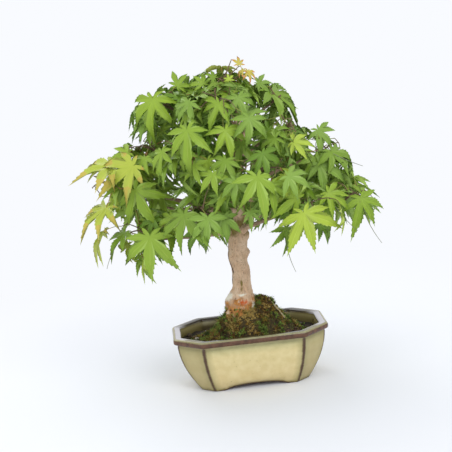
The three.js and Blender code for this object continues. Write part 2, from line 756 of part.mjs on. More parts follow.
const trunkLine = {
  points: TRUNK.stations.map((s) => vector(s.x, s.y, s.z)),
  girths: TRUNK.stations.map((s) => s.r),
  lead: true,
};
const limbs = [trunkLine, ...boughs.filter((bough) => bough !== null)].map(limbSpheres);
const randoms = CROWN.map((_, i) => seededRandom(GROWTH.seed + i));
const spheresOf = CROWN.map(() => []);
const grown = CROWN.map((mass, i) => {
  const others = [...limbs.flat(), ...spheresOf.slice(0, i).flat()];
  const twigs = growTwigs(mass, boughs[i] ?? trunkLine, randoms[i], others);
  if (boughs[i] === null) growShoots(twigs);
  spheresOf[i] = [twigs.stem, ...twigs.twigs].flatMap(limbSpheres);
  return twigs;
});
CROWN.forEach((mass, i) => {
  const others = [...limbs.flat(), ...spheresOf.filter((_, k) => k !== i).flat()];
  spheresOf[i].push(...growLeaves(mass, grown[i], randoms[i], others));
  const tint = mass.name.startsWith('left') ? COLOURS.newLeaf : COLOURS.leaf;
  addPiece(`foliage_${mass.name}`, geometryFrom(massSolid(grown[i])), tint, 0.6);
});

export default model;
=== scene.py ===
"""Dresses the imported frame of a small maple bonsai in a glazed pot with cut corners.

Lengths are millimetres until a mesh is made, which turns them to metres. +Z is up, +X is the
viewer's right and -Y points towards the viewer. The crown grows by the solids' own seeded rule:
each mass first gets the leaves that stand out in the photograph, then the solids' leaves that still
have room, and finer twigs carry the others.
"""

import logging
import math
from dataclasses import dataclass, field
from enum import IntEnum
from typing import Sequence

import bpy
import numpy as np
from mathutils import Matrix, Vector


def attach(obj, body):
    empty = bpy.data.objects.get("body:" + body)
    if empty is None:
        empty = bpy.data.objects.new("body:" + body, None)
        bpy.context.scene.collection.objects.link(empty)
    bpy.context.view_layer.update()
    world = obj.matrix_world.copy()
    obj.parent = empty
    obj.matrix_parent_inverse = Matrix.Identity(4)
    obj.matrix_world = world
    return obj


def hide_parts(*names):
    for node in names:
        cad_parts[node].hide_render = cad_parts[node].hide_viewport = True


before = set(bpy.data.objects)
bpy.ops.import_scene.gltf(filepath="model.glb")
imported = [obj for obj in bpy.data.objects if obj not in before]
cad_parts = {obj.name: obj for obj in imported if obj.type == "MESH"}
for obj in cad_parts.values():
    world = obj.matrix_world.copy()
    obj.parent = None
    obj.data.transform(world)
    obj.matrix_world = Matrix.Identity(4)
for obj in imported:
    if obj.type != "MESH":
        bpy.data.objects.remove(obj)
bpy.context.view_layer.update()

LOG = logging.getLogger("maple")
MM = 0.001
UP = np.array([0.0, 0.0, 1.0])
GOLDEN_TURN = math.pi * (3 - math.sqrt(5))
WORD = 0xFFFFFFFF
BODY = "root"

Array = np.ndarray
Chance = np.random.Generator
Material = bpy.types.Material
Socket = bpy.types.NodeSocket
Row = tuple[float, ...]
Colour = Socket | str | Row
Inputs = dict[str | int, object]


# Array and noise


def vector(*values: float) -> Array:
    """An array of the values given."""
    return np.array(values, float)


def unit(values: Array) -> Array:
    """The values scaled to length one along their last axis."""
    return values / np.maximum(np.linalg.norm(values, axis=-1, keepdims=True), 1e-12)


def mix(low: Array | float, high: Array | float, share: Array | float) -> Array | float:
    """The value at a share of the way from low to high."""
    return low + (high - low) * share


def smooth(low: float, high: float, values: Array) -> Array:
    """Zero at low, one at high and an even S between: share squared times three less twice share."""
    share = np.clip((values - low) / (high - low), 0, 1)
    return share * share * (3 - 2 * share)


def linear(colour: str) -> Row:
    """Six hex digits of sRGB as red, green and blue in linear light, and an alpha of one."""
    parts = [int(colour[i : i + 2], 16) / 255 for i in (0, 2, 4)]
    return *(c / 12.92 if c <= 0.04045 else ((c + 0.055) / 1.055) ** 2.4 for c in parts), 1.0


class SeededRandom:
    """Even random numbers from 0 to 1, draw for draw the same as those of the solids' source."""

    def __init__(self, seed: int) -> None:
        """Starts from a whole-number seed."""
        self.state = seed & WORD

    def __call__(self) -> float:
        """Draws once: the state grows by a fixed step, and shifts and products stir its bits.

        Returns:
            The next number.
        """
        self.state = (self.state + 0x6D2B79F5) & WORD
        t = self.state
        t = ((t ^ (t >> 15)) * (t | 1)) & WORD
        t = (t ^ (t + (((t ^ (t >> 7)) * (t | 61)) & WORD))) & WORD
        return ((t ^ (t >> 14)) & WORD) / 4294967296

    def jitter(self, size: float) -> Array:
        """A small vector, each part up to half the size either way."""
        return vector(*((self() - 0.5) * size for _ in range(3)))


def lattice_noise(points: Array, spacing: float | Row, seed: int) -> Array:
    """Smooth noise from -1 to 1 at each point.

    A whole-number hash gives a value at each corner of a lattice, and the eight values round a
    point are blended by the quintic t^3 (6 t^2 - 15 t + 10) of its place in the cell.

    Args:
        points: places in millimetres, shape (..., 3).
        spacing: the lattice's cell in millimetres, one number or one for each axis.
        seed: tells one noise from another.

    Returns:
        One value for each point.
    """
    scaled = points / np.asarray(spacing, float)
    cell = np.floor(scaled)
    t = scaled - cell
    t = t * t * t * (t * (t * 6 - 15) + 10)
    cell = cell.astype(np.int64)
    total = np.zeros(points.shape[:-1])
    for corner in np.ndindex(2, 2, 2):
        x, y, z = np.moveaxis(cell + np.array(corner), -1, 0)
        key = (x * 374761393 + y * 668265263 + z * 1442695041 + seed * 1274126177) & WORD
        key = ((key ^ (key >> 13)) * 1274126177) & WORD
        key = ((key ^ (key >> 16)) * 2246822519) & WORD
        value = ((key ^ (key >> 15)) & WORD) / 2147483648 - 1
        total += value * np.prod(np.where(np.array(corner) == 1, t, 1 - t), axis=-1)
    return total


def layered_noise(points: Array, spacing: float | Row, seed: int, layers: int = 3) -> Array:
    """Noise plus finer noise: each further layer has half the spacing and half the height."""
    spacing = np.asarray(spacing, float)
    return sum(lattice_noise(points, spacing / 2**k, seed + k) / 2**k for k in range(layers))


# Meshes


def stand(name: str, data: bpy.types.ID) -> bpy.types.Object:
    """Puts a mesh, a light or a camera in the scene as an object of its own."""
    thing = bpy.data.objects.new(name, data)
    bpy.context.scene.collection.objects.link(thing)
    return thing


@dataclass
class Shell:
    """Faces between points, before they are a mesh.

    corners lists the points of one face after another, sizes how many each face has, finish the
    material of each face and values the named numbers of each point.
    """

    points: Array
    corners: Array
    sizes: Array
    finish: Array
    values: dict[str, Array] = field(default_factory=dict)

    @staticmethod
    def of(points: Array, *faces: Array, **values: Array) -> "Shell":
        """Makes a shell of one material from points and arrays of equal-sized faces.

        Args:
            points: shape (..., 3).
            faces: each shape (..., corners of a face).
            values: named numbers, one for each point.

        Returns:
            The shell.
        """
        flat = [np.reshape(f, (-1, np.shape(f)[-1])) for f in faces]
        sizes = np.concatenate([np.full(len(f), f.shape[1]) for f in flat])
        corners = np.concatenate([f.ravel() for f in flat])
        kept = {name: np.ravel(value) for name, value in values.items()}
        return Shell(np.reshape(points, (-1, 3)), corners, sizes, np.zeros(len(sizes), int), kept)

    def piece(
        self,
        name: str,
        materials: Sequence[Material],
        slot: str,
        replaced: Sequence[str] = (),
        crease: float = 40,
    ) -> None:
        """Makes the shell a mesh object in metres that rides on the tree's one body.

        Args:
            name: the object's name.
            materials: one for each number in finish.
            slot: the record's material slot; not used.
            replaced: the frame's nodes that it stands for.
            crease: faces that meet at more than this angle, in degrees, keep a sharp edge.
        """
        mesh = bpy.data.meshes.new(name)
        mesh.vertices.add(len(self.points))
        mesh.vertices.foreach_set("co", (self.points * MM).astype(np.float32).ravel())
        mesh.loops.add(len(self.corners))
        mesh.polygons.add(len(self.sizes))
        starts = np.concatenate([[0], np.cumsum(self.sizes)[:-1]])
        mesh.polygons.foreach_set("loop_start", starts.astype(np.int32))
        mesh.loops.foreach_set("vertex_index", self.corners.astype(np.int32))
        used, index = np.unique(self.finish, return_inverse=True)
        for number in used:
            mesh.materials.append(materials[number])
        mesh.polygons.foreach_set("material_index", index.astype(np.int32))
        mesh.update(calc_edges=True)
        for label, values in self.values.items():
            layer = mesh.attributes.new(label, "FLOAT", "POINT")
            layer.data.foreach_set("value", values.astype(np.float32))
        mesh.shade_smooth()
        mesh.set_sharp_from_angle(angle=math.radians(crease))
        mesh.validate()
        piece = stand(name, mesh)
        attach(piece, BODY)
        if replaced:
            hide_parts(*replaced)
        LOG.info("%s: %d faces", name, len(self.sizes))


def ring_faces(rings: int, sides: int) -> Array:
    """Quads between rings of equal count, each ring closed on itself.

    Args:
        rings: how many rings there are.
        sides: how many points a ring has.

    Returns:
        The corners of each quad, anticlockwise from outside.
    """
    row, column = np.meshgrid(np.arange(rings - 1), np.arange(sides), indexing="ij")
    a = row * sides + column
    b = row * sides + (column + 1) % sides
    return np.stack([a, b, b + sides, a + sides], -1).reshape(-1, 4)


def lofts(*stacks: Array, **values: Array) -> Shell:
    """Closed skins over rings of points: quads between the rings and one flat face at each end.

    Args:
        stacks: points, each of shape (skins, rings, sides, 3), anticlockwise seen from a skin's
            last ring.
        values: named numbers, one for each point.

    Returns:
        All the skins as one shell.
    """
    faces, done = [], 0
    for rings in stacks:
        skins, count, sides = rings.shape[:3]
        starts = done + np.arange(skins)[:, None] * count * sides
        first = np.arange(sides)[::-1] + starts
        faces += [ring_faces(count, sides) + starts[..., None], first, first[:, ::-1] + (count - 1) * sides]
        done += skins * count * sides
    return Shell.of(np.concatenate([rings.reshape(-1, 3) for rings in stacks]), *faces, **values)


def tube_rings(paths: Array, girths: Array, sides: int) -> Array:
    """Rings square to many paths at once.

    A ring's point is the path's point plus the girth times cos(turn) along one side and
    sin(turn) along the other. The first side is a fixed axis made square to the heading: the
    axis that the whole path follows least.

    Args:
        paths: shape (paths, steps, 3).
        girths: radii, shape (paths, steps), or with one more axis for each side.
        sides: how many points a ring has.

    Returns:
        Points, shape (paths, steps, sides, 3).
    """
    heading = unit(np.gradient(paths, axis=1))
    least = np.argmin(np.abs(heading).mean(axis=1), axis=-1)
    fixed = np.eye(3)[least][:, None]
    side = unit(fixed - (fixed * heading).sum(-1, keepdims=True) * heading)
    across = np.cross(heading, side)
    turn = turns(sides)
    if girths.ndim == 2:
        girths = girths[..., None]
    ring = np.cos(turn)[:, None] * side[:, :, None] + np.sin(turn)[:, None] * across[:, :, None]
    return paths[:, :, None] + girths[..., None] * ring


def turns(sides: int) -> Array:
    """Angles spread evenly over one full turn."""
    return np.arange(sides) * 2 * math.pi / sides


def bezier(controls: Sequence[Array], steps: int) -> Array:
    """A cubic curve: its four controls weighed by the terms of (s + t)^3, where s is 1 - t.

    Args:
        controls: four points.
        steps: how many steps to take from the first to the last.

    Returns:
        Points, shape (steps + 1, 3).
    """
    t = np.linspace(0, 1, steps + 1)[:, None]
    s = 1 - t
    a, b, c, d = controls
    return a * s**3 + b * 3 * s * s * t + c * 3 * s * t * t + d * t**3


def parabola(ends: Array, share: Array) -> Array:
    """Points on the parabola through three points, which it meets at shares 0, a half and 1.

    Args:
        ends: shape (paths, 3 points, 3).
        share: shape (steps,) or (paths, steps).

    Returns:
        Points, shape (paths, steps, 3).
    """
    t = np.atleast_2d(share)[..., None]
    a, b, c = (ends[:, k][:, None] for k in range(3))
    return a * (1 - t) * (1 - 2 * t) + b * 4 * t * (1 - t) + c * t * (2 * t - 1)


# Finishes


def fill(node: bpy.types.Node, inputs: Inputs) -> None:
    """Links each of a node's inputs that is given a socket, and sets the others.

    Args:
        node: the node.
        inputs: each input's name or number, with its socket or value.
    """
    for name, value in inputs.items():
        if isinstance(value, Socket):
            node.id_data.links.new(value, node.inputs[name])
        else:
            node.inputs[name].default_value = value


def add_node(
    tree: bpy.types.NodeTree, kind: str, inputs: Inputs | None = None, **settings: object
) -> bpy.types.Node:
    """Adds one shader node.

    Args:
        tree: the material's nodes.
        kind: the node's type without its leading "ShaderNode".
        inputs: what to fill its inputs with.
        settings: the node's own properties.

    Returns:
        The new node.
    """
    node = tree.nodes.new("ShaderNode" + kind)
    for name, value in settings.items():
        setattr(node, name, value)
    fill(node, inputs or {})
    return node


class Paint:
    """One material with a Principled shader, while its nodes are put together.

    Each method adds what it names and gives the socket that carries the result. A colour is a
    socket, six hex digits of sRGB or four numbers of linear light.
    """

    def __init__(self, name: str) -> None:
        """Starts the material.

        Args:
            name: its name.
        """
        self.material = bpy.data.materials.new(name)
        self.material.use_nodes = True
        self.tree = self.material.node_tree
        self.tree.nodes.clear()
        self.shader = add_node(self.tree, "BsdfPrincipled")
        self.surface = add_node(self.tree, "OutputMaterial", {"Surface": self.shader.outputs["BSDF"]})
        self.place = add_node(self.tree, "TexCoord").outputs["Object"]

    def noise(self, spacing: float, detail: float = 3.0, stretch: float = 1.0) -> Socket:
        """Adds noise.

        Args:
            spacing: in millimetres.
            detail: how many finer layers it has.
            stretch: how far it is drawn out along Z.

        Returns:
            The noise.
        """
        scale = (1.0, 1.0, 1 / stretch)
        place = add_node(self.tree, "Mapping", {"Vector": self.place, "Scale": scale}).outputs[0]
        inputs = {"Vector": place, "Scale": 1000 / spacing, "Detail": detail}
        return add_node(self.tree, "TexNoise", inputs).outputs["Fac"]

    def zone(self, name: str) -> Socket:
        """The numbers that the mesh carries under a name."""
        return add_node(self.tree, "Attribute", attribute_name=name).outputs["Fac"]

    def share(self, value: Socket, low: float, high: float) -> Socket:
        """Zero at low, one at high and straight between, whichever is the larger."""
        inputs = {"Value": value, "From Min": low, "From Max": high}
        return add_node(self.tree, "MapRange", inputs).outputs[0]

    def maths(self, way: str, *values: Socket | float) -> Socket:
        """One of the Math node's operations."""
        return add_node(self.tree, "Math", dict(enumerate(values)), operation=way).outputs[0]

    def blend(self, share: Socket | float, low: Colour, high: Colour, way: str = "MIX") -> Socket:
        """The colour at a share of the way from one to the other."""
        low, high = (linear(c) if isinstance(c, str) else c for c in (low, high))
        inputs = {0: share, 6: low, 7: high}
        return add_node(self.tree, "Mix", inputs, data_type="RGBA", blend_type=way).outputs[2]

    def done(
        self, colour: Socket, roughness: float | Socket, height: Socket | None = None, depth: float = 0.0
    ) -> Material:
        """Puts the colour, the roughness and the relief on the shader.

        Args:
            colour: the base colour.
            roughness: one number, or a socket where it varies.
            height: the relief, if there is one.
            depth: how deep the relief goes, in millimetres.

        Returns:
            The finished material.
        """
        fill(self.shader, {"Base Color": colour, "Roughness": roughness})
        if height:
            bump = add_node(self.tree, "Bump", {"Height": height, "Strength": 0.5, "Distance": depth * MM})
            fill(self.shader, {"Normal": bump.outputs[0]})
        return self.material


@dataclass(frozen=True)
class Blade:
    """The skin of a fresh maple leaf or moss shoot: soft, thin and waxy, so it keeps a faint sheen.

    The colour is dealt out leaf by leaf. Within a leaf it only clouds a little lighter and darker,
    by the share given, over a few millimetres.
    """

    name: str
    colour: str
    roughness: float = 0.5
    cloud: float = 0.16
    spacing: float = 5.0
    specular: float = 0.28

    def build(self) -> Material:
        """Clouds the colour.

        Returns:
            The material.
        """
        paint = Paint(self.name)
        share = paint.share(paint.noise(self.spacing), 0.35, 0.65)
        dark, light = ((c * (1 + way * self.cloud) for c in linear(self.colour)[:3]) for way in (-1, 1))
        paint.shader.inputs["Specular IOR Level"].default_value = self.specular
        return paint.done(paint.blend(share, (*dark, 1), (*light, 1)), self.roughness)


@dataclass(frozen=True)
class Bark:
    """Maple bark: smooth, matt and finely furrowed along the limb, with a paler bloom on ridges.

    grain is the spacing of the furrows in millimetres, drawn at about twice life so it shows. A
    bough's bark has the trunk's colours where it leaves the trunk, by the age on its mesh.
    """

    name: str
    dark: str
    light: str
    bloom: str
    speck: str = "6E523C"
    grain: float = 1.2
    roughness: float = 0.85
    old: "Bark | None" = None

    def wood(self, paint: Paint, furrow: Socket) -> Socket:
        """The colour of bare bark: light on the furrows' ridges, with a bloom and dark specks.

        Args:
            paint: the material.
            furrow: the height of the furrows.

        Returns:
            The colour.
        """
        wood = paint.blend(paint.share(furrow, 0.1, 0.9), self.dark, self.light)
        wood = paint.blend(paint.share(paint.noise(11), 0.35, 0.85), wood, self.bloom)
        specks = paint.share(paint.noise(1.7, 2), 0.55, 0.72)
        return paint.blend(paint.maths("MULTIPLY", specks, 0.55), wood, self.speck)

    def colour(self, paint: Paint, furrow: Socket) -> Socket:
        """The colour of the whole limb, from the same arguments as wood."""
        young = self.wood(paint, furrow)
        return paint.blend(paint.zone("age"), young, self.old.wood(paint, furrow)) if self.old else young

    def build(self) -> Material:
        """The finish as a material."""
        paint = Paint(self.name)
        furrow = paint.noise(self.grain, 4, 4.5)
        return paint.done(self.colour(paint, furrow), self.roughness, furrow, 0.3)


@dataclass(frozen=True)
class TrunkBark(Bark):
    """The trunk's bark, with zones worked out on its mesh.

    rust is the stringy orange wood over the roots, ember its red heart, dust what the moss has
    left on it, lichen the white crust, algae the olive scar and, high up, painted shade under the
    crown, and crease painted shade in the relief's hollows, with the gash and the cracks darker too.
    """

    rust: tuple[str, str] = ("7A4A20", "CC8E48")
    # Each zone's colour, and how far its edge is ragged.
    zones: tuple[tuple[str, str, float], ...] = (
        ("ember", "BE5A26", 1.0),
        ("dust", "7C6A2E", 0.9),
        # algae is the olive scar, and painted shade under the crown.
        ("algae", "7A6A34", 0.6),
        ("lichen", "E2DCCB", 0.7),
        # crease is painted shade in the hollows, and the darker gash and cracks.
        ("crease", "4A3524", 0.4),
    )

    def colour(self, paint: Paint, furrow: Socket) -> Socket:
        """The colour of the whole trunk: bare bark, and each zone over it in turn.

        Args:
            paint: the material.
            furrow: the height of the furrows.

        Returns:
            The colour.
        """
        fleck = paint.noise(1.3, 3, 2)
        strings = paint.blend(paint.share(fleck, 0.32, 0.68), *self.rust)
        colour = self.wood(paint, furrow)
        for name, layer, spread in (("rust", strings, 0.7), *self.zones):
            ragged = paint.maths("MULTIPLY_ADD", fleck, spread, paint.zone(name))
            share = paint.share(ragged, 0.4 + spread / 2, 0.75 + spread / 2)
            colour = paint.blend(share, colour, layer)
        return colour


@dataclass(frozen=True)
class Earth:
    """Potting soil, moss beds and grit: matt and crumbly, in mottled colours of a few millimetres."""

    name: str
    dark: str
    light: str
    fleck: str
    spacing: float = 3.0
    crumb: float = 0.9

    def build(self) -> Material:
        """Mottles two colours and strews the third over them in flecks.

        Returns:
            The material.
        """
        paint = Paint(self.name)
        crumb = paint.noise(self.crumb, 2)
        ground = paint.blend(paint.share(paint.noise(self.spacing, 4), 0.35, 0.65), self.dark, self.light)
        return paint.done(paint.blend(paint.share(crumb, 0.62, 0.7), ground, self.fleck), 0.95, crumb, 0.6)


@dataclass(frozen=True)
class Celadon:
    """Stoneware under a pale green-cream glaze that breaks to iron brown on every edge.

    The glaze is glossy and slightly pitted. The mesh carries the way up the pot's profile and the
    distance to the nearest upright corner, both in millimetres, and where the cut corners, the two
    ends of the rim and the rim's back are, which get painted shade and a painted sky reflection.
    """

    name: str
    # Way up the profile, and the colour there: bare foot, wall, the olive band under the rim,
    # which is painted shade, the rim, and the inside.
    bands: tuple[tuple[float, str], ...] = (
        *((0.0, "4E2F1C"), (0.9, "5A3A22"), (1.7, "8A8152"), (4.0, "C2B07E"), (14.0, "D4C28F")),
        # From 41 to 44.5 mm the wall darkens to olive: painted shade under the rim.
        *((36.0, "D0C18D"), (41.0, "BDB381"), (44.5, "8F8C60"), (46.6, "B7AC80"), (47.6, "A89A70")),
        *((55.2, "8F8B66"), (56.6, "B0AC8B"), (57.6, "5E563C"), (62.6, "584F36"), (63.6, "3F3524")),
        *((65.5, "A39B74"), (70.0, "5C5238"), (110.0, "6B6246")),
    )
    iron: tuple[str, str] = ("432A1A", "66442E")
    ridge: str = "4A3420"
    halo: str = "8D8553"
    # Painted shade on the cut corners.
    panel: str = "8A7E4C"
    # Painted sky reflection on the rim's top at both ends.
    ends: str = "CFCBD2"
    # Painted shade on the rim's top at the back.
    back: str = "3A3024"
    speck: str = "8A7A52"
    lip: tuple[float, float] = (48.2, 54.6)
    top: tuple[float, float] = (57.2, 63.4)
    roughness: float = 0.18

    def band(self, paint: Paint, way: Socket, low: float, high: float) -> Socket:
        """One between two ways up the profile and zero outside."""
        shares = (paint.share(way, low - 0.3, low + 0.3), paint.share(way, high + 0.3, high - 0.3))
        return paint.maths("MULTIPLY", *shares)

    def glaze(self, paint: Paint, way: Socket) -> Socket:
        """Colours the glaze by the way up the profile, from its bands.

        Args:
            paint: the material.
            way: the way up the profile.

        Returns:
            The colour.
        """
        length = self.bands[-1][0]
        ramp = add_node(paint.tree, "ValToRGB", {"Fac": paint.share(way, 0, length)})
        stops = ramp.color_ramp.elements
        while len(stops) < len(self.bands):
            stops.new(1.0)
        for stop, (height, colour) in zip(stops, self.bands):
            stop.position = height / length
            stop.color = linear(colour)
        return ramp.outputs["Color"]

    def build(self) -> Material:
        """Lays the bands, the clouds, the dark ridges and the bare edges over one another.

        Returns:
            The material.
        """
        paint = Paint(self.name)
        cloud, grain, pits = paint.noise(7, 5), paint.noise(1.3), paint.noise(2.6, 1)
        # The bands' edges wander by about half a millimetre.
        way = paint.maths("ADD", paint.maths("MULTIPLY_ADD", grain, 1.4, paint.zone("profile")), -0.7)
        # Thin and thick glaze makes it cloudy. The cut corners are painted darker and greener as painted
        # shade.
        body = paint.blend(0.15, self.glaze(paint, way), paint.share(cloud, 0.35, 0.7), "SOFT_LIGHT")
        body = paint.blend(paint.maths("MULTIPLY", paint.zone("panel"), 0.55), body, self.panel)
        # The ridges narrow downwards, and wander with the clouds.
        edge = paint.maths("MULTIPLY_ADD", grain, 0.8, paint.zone("ridge"))
        edge = paint.maths("MULTIPLY_ADD", cloud, 2.0, edge)
        edge = paint.maths("MULTIPLY_ADD", paint.share(way, 40, 5), 0.5, edge)
        below = paint.share(way, 46.5, 45.5)
        halo = paint.maths("MULTIPLY", paint.share(edge, 10, 3.2), 0.6)
        pitted = paint.share(pits, 0.73, 0.8)
        iron = paint.blend(paint.share(paint.noise(5, 4), 0.35, 0.65), *self.iron)
        top = self.band(paint, way, *self.top)
        for share, colour in (
            (paint.maths("MULTIPLY", halo, below), self.halo),
            (paint.maths("MULTIPLY", paint.share(edge, 4.1, 2.4), below), self.ridge),
            (paint.maths("MULTIPLY", pitted, 0.7), self.speck),
            (self.band(paint, way, *self.lip), iron),
            # The rim's top is painted lavender at both ends as a painted sky reflection.
            (paint.maths("MULTIPLY", top, paint.zone("ends")), self.ends),
            # At the back the rim's top is painted dark as painted shade.
            (paint.maths("MULTIPLY", top, paint.zone("back")), self.back),
        ):
            body = paint.blend(share, body, colour)
        ends = {"From Min": 0.9, "From Max": 1.6, "To Min": 0.8, "To Max": self.roughness}
        sheen = add_node(paint.tree, "MapRange", {"Value": way, **ends})
        return paint.done(body, sheen.outputs[0], paint.maths("SUBTRACT", cloud, pitted), 0.2)


# The trunk


@dataclass(frozen=True)
class Trunk:
    """The trunk from the soil to its leading tip."""

    bark: TrunkBark = TrunkBark("old_maple_bark", "9C8066", "E0BB97", "DDC5AA")
    ground: float = 45.0
    # Height, middle in X and Y, and girth of each station.
    stations: tuple[Row, ...] = (
        *((45, -5, 0, 22), (52, -5, 0, 20.5), (60, -5.2, 0, 18.5), (70, -5.5, 0, 15.5)),
        *((80, -4.2, 0, 12.2), (90, -2.6, 0.5, 9), (108, -2.4, 1, 8.4), (123, -4, 1, 8.3)),
        *((141, -2.5, 0, 9.4), (155, -1.3, -1, 7.6), (180, 0, -1, 6), (205, 3, 1, 4.8)),
        *((235, 8, 3, 3.5), (266, 9, 1, 2)),
    )
    # Height, side in degrees, size and spread of each swelling where a branch was cut.
    knobs: tuple[Row, ...] = ((124, 0, 2.2, 5), (143, 15, 2.6, 6), (150, 175, 2.4, 6), (81, 185, 4.4, 8))
    # Strength, height, side in degrees, half height and half breadth of each spot. The crust is a
    # band of lichen whose height wavers.
    gash: Row = (1.9, 112, 188, 7, 2.6)
    crust: Row = (0.95, 86.5, -95, 1.6, 6)
    lichen: tuple[Row, ...] = (
        *((0.95, 84, 192, 5, 6), (0.6, 80, -110, 2, 2), (1.1, 73, -40, 6, 3.4)),
        *((0.75, 66, -20, 6, 3), (0.5, 100, 40, 9, 4)),
    )
    algae: tuple[Row, ...] = ((0.9, 97, -97, 5, 1.5), (0.7, 91.5, -100, 3.5, 2.4), (0.5, 134, 190, 9, 4))
    ember: tuple[Row, ...] = ((0.8, 79, -88, 4, 6), (0.55, 71, -108, 4, 5), (0.5, 76, -60, 3, 3))
    cracks: tuple[Row, ...] = ((1, 118, 190, 26, 2.2), (1, 100, 188, 9, 2))
    ridges: int = 5
    ridge_size: float = 0.16
    ridge_top: float = 76.0
    ridge_turn: float = 0.5
    sides: int = 112
    ring_gap: float = 0.9

    def at(self, z: Array | float) -> Array:
        """Middle in X and Y and girth at a height, by straight steps between the stations."""
        table = np.array(self.stations)
        return np.stack([np.interp(z, table[:, 0], table[:, k]) for k in (1, 2, 3)], -1)

    def line(self) -> "Limb":
        """The stations as a limb, for the growth rule's tests."""
        table = np.array(self.stations)
        return Limb(table[:, [1, 2, 0]], table[:, 3])

    def reach(self, z: Array, azimuth: Array, girth: Array) -> Array:
        """How far the bark is from the trunk's middle, before its relief.

        The girth, times one plus a cosine for the root ridges that fades out with height, plus a
        bell curve for each knob.

        Args:
            z: heights.
            azimuth: directions from the middle, in radians.
            girth: the stations' girth at those heights.

        Returns:
            The distances.
        """
        rise = np.maximum(0, (self.ridge_top - z) / (self.ridge_top - self.ground))
        reach = girth * (1 + self.ridge_size * rise * np.cos(self.ridges * azimuth + self.ridge_turn))
        for height, side, size, spread in self.knobs:
            across = np.sin((azimuth - math.radians(side)) / 2) * 2 * girth
            distance = np.hypot(across, z - height) / spread
            reach = reach + size * np.exp(-distance * distance)
        return reach

    def build(self) -> None:
        """Makes the trunk with its bark in relief.

        A point at height z and azimuth a stands at the middle plus the reach along a. The relief
        adds lumps of about a centimetre, furrows along the trunk and stringy ridges on the roots,
        and a gash on the left.
        """
        low, high = self.stations[0][0], self.stations[-1][0]
        heights = np.linspace(low, high, int((high - low) / self.ring_gap))
        z, azimuth = np.meshgrid(heights, turns(self.sides), indexing="ij")
        x, y, girth = np.moveaxis(self.at(z), -1, 0)
        reach = self.reach(z, azimuth, girth)
        place = np.stack([x + reach * np.cos(azimuth), y + reach * np.sin(azimuth), z], -1)
        root = smooth(92, 76, z)

        def spot(height: Array | float, side: float, tall: float, wide: float) -> Array:
            """A bell curve about one height and azimuth, with its half sizes in millimetres."""
            across = np.sin((azimuth - math.radians(side)) / 2) * 2 * girth
            return np.exp(-(((z - height) / tall) ** 2) - (across / wide) ** 2)

        def highest(*rows: Row) -> Array:
            """The highest of several spots, each given with its own strength first."""
            return np.maximum.reduce([row[0] * spot(*row[1:]) for row in rows])

        waver = lattice_noise(place, 6, 21)
        lumps = layered_noise(place, 9, 1) * 0.75
        furrows = 0.2 - np.abs(layered_noise(place, (1.7, 1.7, 9), 5)) * 0.55
        scales = layered_noise(place, (3.4, 3.4, 2.4), 8, 2) * 0.22
        strings = 0.5 - np.abs(layered_noise(place, (2.4, 2.4, 12), 11)) * 1.7
        ring = -0.5 * np.exp(-(((z + 2.5 * lattice_noise(place, 8, 13) - 86.5) / 1.4) ** 2))
        gash = highest(self.gash)
        swell = 1.5 * np.exp(-(((z - 119) / 14) ** 2)) * np.maximum(0, -np.cos(azimuth))
        swell += 1.9 * np.exp(-(((z - 126) / 3.4) ** 2)) * np.maximum(0, np.cos(azimuth)) ** 3
        slim = np.clip(girth / 9, 0.25, 1.3)
        relief = mix(lumps + furrows + scales, lumps * 1.2 + strings + scales, root) * slim + ring
        fade = smooth(0, 3, z - low) * 0.7 + 0.3
        reach = reach + (relief - gash + swell) * fade
        place = np.stack([x + reach * np.cos(azimuth), y + reach * np.sin(azimuth), z], -1)

        front = 0.55 + 0.45 * np.cos(azimuth + math.pi / 2)
        rust = smooth(87, 80, z + 3.5 * waver) * front * (0.8 + 0.5 * lattice_noise(place, 5, 23))
        strength, height, *sizes = self.crust
        lichen = highest((strength, height + 2 * waver, *sizes), *self.lichen)
        # From 136 mm up the bark is painted darker and olive as painted shade under the crown.
        green = 0.85 * smooth(136, 148, z) * (0.75 + 0.4 * waver)
        algae = np.maximum(highest(*self.algae), green)
        ember = highest(*self.ember)
        dust = smooth(76, 58, z + 4 * waver) * 0.95
        # The relief's hollows are painted dark as painted shade, and the gash and the cracks are darker too.
        crease = np.clip(-relief / 1.1 - 0.25, 0, 1) * (1 - 0.7 * root) + gash * 0.8
        crease = np.maximum(crease, 0.75 * highest(*self.cracks))
        zones = dict(rust=rust, lichen=lichen, algae=algae, ember=ember, dust=dust, crease=crease)
        shell = lofts(place[None], **zones)
        shell.piece("trunk_bark", [self.bark.build()], "bark_trunk", ["trunk"], crease=180)


# How the crown grows

# The longest step between two of the spheres that stand for a limb.
GUARD_EVERY = 3


@dataclass
class Limb:
    """A path and its girth at each point."""

    points: Array
    girths: Array

    def spheres(self) -> Array:
        """Spheres along the limb, which stand for it where clearances are tested.

        Returns:
            Rows of X, Y, Z and radius.
        """
        rows, found = np.column_stack([self.points, self.girths]), []
        for a, b in zip(rows, rows[1:]):
            steps = max(1, math.ceil(np.linalg.norm(b[:3] - a[:3]) / GUARD_EVERY))
            found.append(mix(a, b, (np.arange(steps + 1) / steps)[:, None]))
        return np.concatenate(found)


@dataclass(eq=False)
class Twig:
    """A twig through its root, middle and end, how much of it is used, and the joints that are taken."""

    ends: Array
    used: float = 0.0
    taken: set[int] = field(default_factory=set)

    def joint(self, share: float) -> Array:
        """The point at a share of its length, on its two straight runs."""
        root, middle, end = self.ends
        return mix(root, middle, share * 2) if share < 0.5 else mix(middle, end, share * 2 - 1)


@dataclass(eq=False)
class Leaf:
    """One leaf: where its stalk starts, its heart, the way it faces and lies, and its length."""

    root: Array
    heart: Array
    normal: Array
    along: Array
    size: float
    spray: int = 0
    tone: int | None = None


